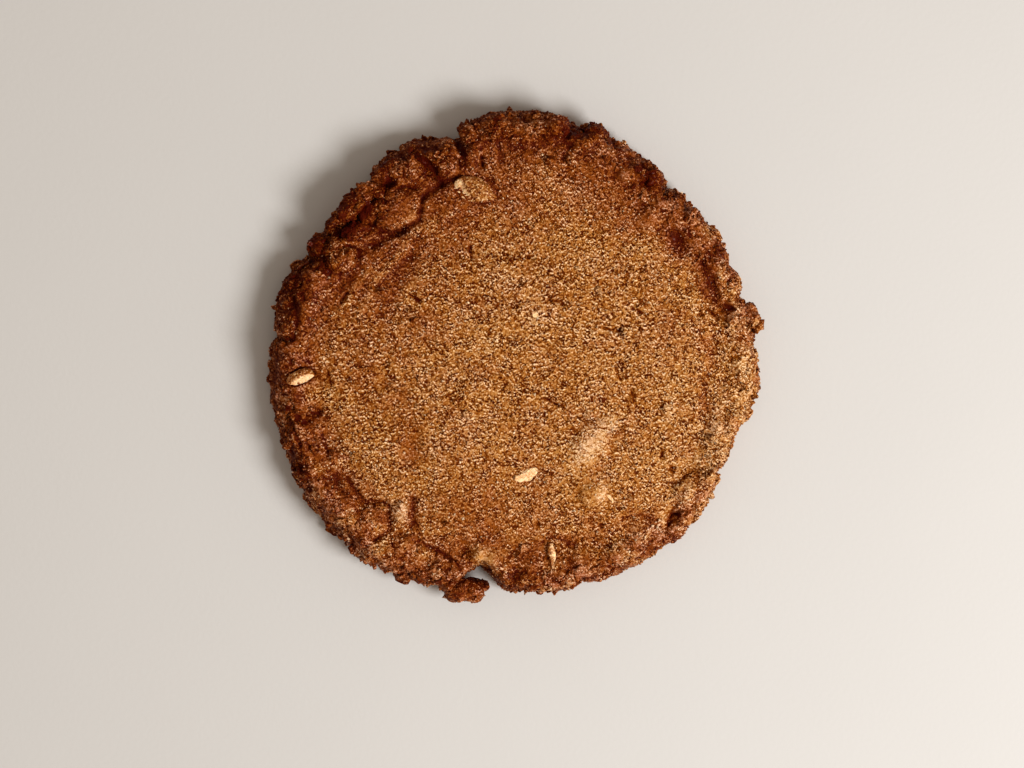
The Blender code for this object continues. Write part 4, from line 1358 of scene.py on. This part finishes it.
class DoughSettings(bpy.types.PropertyGroup):
    step: length("Mesh Step", "Distance between points of the top and side", 0.36 * MM)
    underside_step: length("Underside Step", "Distance between points of the flat underside", 1.2 * MM)
    pore_depth: length("Pore Depth", "How far up the pores of the underside go", 0.7 * MM)
    crumb_size: length("Crumb Size", "Width of the small crumbs that the crust is made of", 1.0 * MM)
    bump: length("Bump", "Height of the grain that is too fine for the mesh", 0.5 * MM)
    tone: number("Tone", "How pale the least baked crust is", 0.61)
    burnt: colour("Burnt", "The darkest crumbs and creases", (0.082, 0.0068, 0.0011))
    brown: colour("Brown", "Well baked crust", (0.120, 0.0200, 0.0013))
    amber: colour("Amber", "Crust on the way from golden to brown", (0.290, 0.081, 0.0045))
    golden: colour("Golden", "Crust that is baked least", (0.515, 0.235, 0.062))
    rosiness: number("Rosiness", "How much more blue than its own the browned crust gives back", 2.95)
    # Cream is the palest tone: dry pale crust, and the painted highlights of specks, painted edge light
    # and highlight patches
    cream: colour("Cream", "Pale dry specks and patches", (0.93, 0.64, 0.38))


class CrumbSettings(bpy.types.PropertyGroup):
    clod_size: length("Clod Size", "Width of the largest clods of the rim", 2.8 * MM)
    crumb_size: length("Crumb Size", "Width of the largest crumbs on the rim", 2.4 * MM)
    grain_size: length("Grain Size", "Width of the largest loose grains of the face", 0.8 * MM)
    clods: tried("Clods Tried", "How many places are tried for clods", 2600)
    crumbs: tried("Crumbs Tried", "How many places are tried for crumbs", 20000)
    grains: tried("Grains Tried", "How many places are tried for grains", 60000)


class SugarSettings(bpy.types.PropertyGroup):
    crystal_size: length("Crystal Size", "Usual width of a sugar crystal", 0.42 * MM)
    lift: length("Lift", "How far crystals sit over the dough, among the grains", 0.5 * MM)
    crystals: tried("Crystals Tried", "How many places are tried", 20000)
    crystal: colour("Crystal", "Sugar on the pale crust", (0.95, 0.70, 0.46))
    stained: colour("Stained", "Sugar on the dark crust", (0.55, 0.28, 0.15))


class CashewSettings(bpy.types.PropertyGroup):
    crumbed: number("Crumbed", "How pale the dough is that clings to the nut", 0.44)
    cream: colour("Cream", "The nut's broken inside", (1.0, 0.72, 0.42))
    rosy: colour("Rosy", "The nut's inside where it roasted", (0.78, 0.42, 0.19))


class StageSettings(bpy.types.PropertyGroup):
    tilt: angle("Camera Tilt", "How far the camera leans off straight above", 9)
    turn: angle("Camera Turn", "The side that the camera leans to, from +X", 135)
    distance: length("Camera Distance", "From the camera to the point it looks at", 0.56)
    seen_width: length("Seen Width", "How wide the view is at the cookie", 0.2208)
    aim: FloatVectorProperty(
        name="Aim", description="The point that the camera looks at", subtype="XYZ",
        default=(-1.0 * MM, -5.6 * MM, 3.4 * MM), unit="LENGTH",
    )
    key_power: number("Key Light", "Power of the soft main light, in watts", 5.4)
    sky: number("Sky Light", "Strength of the even light all round", 0.40)
    floor_colour: colour("Floor", "Colour of the pale floor", (0.62, 0.605, 0.585))


class COOKIE_OT_bake_dough(bpy.types.Operator):
    """Shapes and browns the body of dough in place of the plain solid"""
    bl_idname = "cookie.bake_dough"
    bl_label = "Bake Dough"

    def execute(self, context):
        settings = context.scene.cookie_dough
        made = bake_dough(settings)
        made.data.materials.append(crust_material(settings, "baked crust", own_tint=False))
        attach(made, BODY)
        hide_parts(NODE)
        return {"FINISHED"}


def dress(made, material=None):
    """Makes a piece part of the cookie, with its material."""
    if material:
        made.data.materials.append(material)
    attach(made, BODY)


class COOKIE_OT_add_lumps(bpy.types.Operator):
    """Adds the crumb that hangs off the front edge, lumps of the side and clods of the face"""
    bl_idname = "cookie.add_lumps"
    bl_label = "Add Lumps"

    def execute(self, context):
        ground = dough_body()
        seat = np.array(ground["seat"])
        for name, (lumps, subdivisions, aside) in LUMP_PIECES.items():
            made = lumps_object(name, lumps, subdivisions, seat, aside)
            dress(made, ground.data.materials[0])
        return {"FINISHED"}


class COOKIE_OT_add_cashews(bpy.types.Operator):
    """Sinks the chopped cashews in the face"""
    bl_idname = "cookie.add_cashews"
    bl_label = "Add Cashews"

    def execute(self, context):
        ground = dough_body()
        material = cashew_material(context.scene.cookie_cashews, context.scene.cookie_dough)
        for name in CASHEWS:
            dress(cashew(name, ground, material))
        return {"FINISHED"}


class COOKIE_OT_scatter_crumbs(bpy.types.Operator):
    """Scatters the clods, crumbs and loose grains over the rim, side and face"""
    bl_idname = "cookie.scatter_crumbs"
    bl_label = "Scatter Crumbs"

    def execute(self, context):
        settings = context.scene.cookie_crumbs
        body = dough_body()
        seat = body["seat"]
        grounds = [body, *(bpy.data.objects[name] for name in LUMP_PIECES)]
        material = crust_material(context.scene.cookie_dough, "crust crumbs", own_tint=True)
        random = np.random.default_rng(SEED + 1)

        def on_rim(places, facing, held):
            outside = smoothstep(0.86, 0.97, share_of(places, seat))
            return outside * clear_of_floor(places, facing) * off_notch(places, seat)

        def of_crumbs(places, facing, held):
            outside = 0.02 + 0.98 * smoothstep(0.84, 0.97, share_of(places, seat))
            clumped = smoothstep(-0.15, 0.25, noise_at(places, 5 * MM))
            clear = clear_of_floor(places, facing) * off_notch(places, seat)
            return outside * clumped * clear * open_crust(held)

        def of_grains(places, facing, held):
            clumped = 0.15 + 0.85 * smoothstep(-0.10, 0.20, noise_at(places, 2.2 * MM))
            return clumped * clear_of_floor(places, facing) * open_crust(held)

        def scatter(name, count, smallest, size, shapes, *how):
            widths = (smallest * size, size)
            dress(scatter_bits(name, grounds, count, widths, shapes, random, *how), material)

        tried, size = settings.clods, settings.clod_size
        balls = [ball(3, 1.0, 0.38, random) for _ in range(24)]
        scatter("rim_clods", tried, 0.5, size, balls, on_rim, (-0.55, -0.35), 0.5, True)
        tried, size = settings.crumbs, settings.crumb_size
        balls = [ball(2, 1.0, 0.40, random) for _ in range(24)]
        scatter("dough_crumbs", tried, 0.35, size, balls, of_crumbs, (-0.35, 0.05), 0.7, False)
        tried, size = settings.grains, settings.grain_size
        bits = [angular_grain(random) for _ in range(32)]
        scatter("crust_grains", tried, 0.4, size, bits, of_grains, (-0.10, 0.12), 0.8, False)
        return {"FINISHED"}


def open_crust(held):
    """Where crumbs and grains lie loose: not on smooth patches and not in cracks."""
    smooth, cracked = held[:, LAYERS.index("smoothness")], held[:, LAYERS.index("cracked")]
    clear = (1 - 0.95 * np.minimum(smooth, 1)) * (1 - 0.9 * np.clip(cracked, 0, 1))
    return clear * smoothstep(2.2, 1.5, held[:, LAYERS.index("browning_and_shade")])


def off_notch(places, seat):
    """Where a bit doesn't fill the notch over the hanging crumb."""
    angle = np.degrees(np.arctan2(places[:, 1] - seat[1], places[:, 0] - seat[0]))
    away = np.abs((angle - HANGING_BITE[0] + 180) % 360 - 180)
    return smoothstep(*NOTCH_CLEAR, away)


def clear_of_floor(places, facing):
    """Where a bit can stick out without reaching the floor under the cookie."""
    return smoothstep(0.9 * MM, 1.8 * MM, places[:, 2]) * smoothstep(-0.75, -0.35, facing[:, 2])


class COOKIE_OT_scatter_sugar(bpy.types.Operator):
    """Scatters the sugar crystals over the crust"""
    bl_idname = "cookie.scatter_sugar"
    bl_label = "Scatter Sugar"

    def execute(self, context):
        settings = context.scene.cookie_sugar

        def where_dry(places, facing, held):
            dry = 0.12 + 0.75 * np.minimum(held[:, LAYERS.index("pale")], 1)
            return dry * clear_of_floor(places, facing) * smoothstep(0.2, 0.6, facing[:, 2])

        made = scatter_sugar(dough_body(), settings, where_dry, np.random.default_rng(SEED + 2))
        dress(made, sugar_material(settings))
        return {"FINISHED"}


class COOKIE_OT_set_stage(bpy.types.Operator):
    """Lays the pale floor and sets the soft lights and the camera"""
    bl_idname = "cookie.set_stage"
    bl_label = "Set Stage"

    def execute(self, context):
        settings = context.scene.cookie_stage
        scene = context.scene
        corners = np.array([(-1, -1, 0), (1, -1, 0), (1, 1, 0), (-1, 1, 0)]) * FLOOR_REACH
        corners[:, 2] = FLOOR_LEVEL
        floor = mesh_object("pale_floor", corners, np.array([(0, 1, 2, 3)]))
        floor.data.materials.append(floor_material(settings))
        aim = Vector(settings.aim)
        lean, turn = settings.tilt, settings.turn
        back = Vector((
            math.sin(lean) * math.cos(turn), math.sin(lean) * math.sin(turn), math.cos(lean),
        ))
        camera = bpy.data.cameras.new("camera")
        camera.lens = camera.sensor_width * settings.distance / settings.seen_width
        camera.clip_start = 0.01
        scene.camera = linked("camera", camera)
        scene.camera.matrix_world = looking_from(aim + back * settings.distance, back)
        soft_light("key_light", aim, KEY_DIRECTION, KEY_DISTANCE, KEY_SIZE, settings.key_power)
        world = scene.world or bpy.data.worlds.new("even light")
        scene.world = world
        world.use_nodes = True
        sky = world.node_tree.nodes["Background"].inputs
        sky["Color"].default_value = SKY_COLOUR
        sky["Strength"].default_value = settings.sky
        scene.view_settings.view_transform = "Standard"
        scene.view_settings.look = "Medium High Contrast"
        return {"FINISHED"}


STEPS = (
    ("cookie_dough", DoughSettings, (COOKIE_OT_bake_dough, COOKIE_OT_add_lumps)),
    ("cookie_cashews", CashewSettings, (COOKIE_OT_add_cashews,)),
    ("cookie_crumbs", CrumbSettings, (COOKIE_OT_scatter_crumbs,)),
    ("cookie_sugar", SugarSettings, (COOKIE_OT_scatter_sugar,)),
    ("cookie_stage", StageSettings, (COOKIE_OT_set_stage,)),
)


class COOKIE_PT_bakery(bpy.types.Panel):
    """Lists the cookie's steps in the order they are done, with their settings"""
    bl_idname = "COOKIE_PT_bakery"
    bl_label = "Cashew Cookie"
    bl_space_type = "VIEW_3D"
    bl_region_type = "UI"
    bl_category = "Cookie"

    def draw(self, context):
        for name, settings, operators in STEPS:
            box = self.layout.box()
            for operator in operators:
                box.operator(operator.bl_idname)
            for setting in settings.__annotations__:
                box.prop(getattr(context.scene, name), setting)


def register():
    for name, settings, operators in STEPS:
        for made in (settings, *operators):
            bpy.utils.register_class(made)
        setattr(bpy.types.Scene, name, PointerProperty(type=settings))
    bpy.utils.register_class(COOKIE_PT_bakery)


def unregister():
    bpy.utils.unregister_class(COOKIE_PT_bakery)
    for name, settings, operators in reversed(STEPS):
        delattr(bpy.types.Scene, name)
        for made in (*operators, settings):
            bpy.utils.unregister_class(made)


def main():
    register()
    bpy.ops.cookie.bake_dough()
    bpy.ops.cookie.add_lumps()
    bpy.ops.cookie.add_cashews()
    bpy.ops.cookie.scatter_crumbs()
    bpy.ops.cookie.scatter_sugar()
    bpy.ops.cookie.set_stage()


if __name__ == "__main__":
    main()
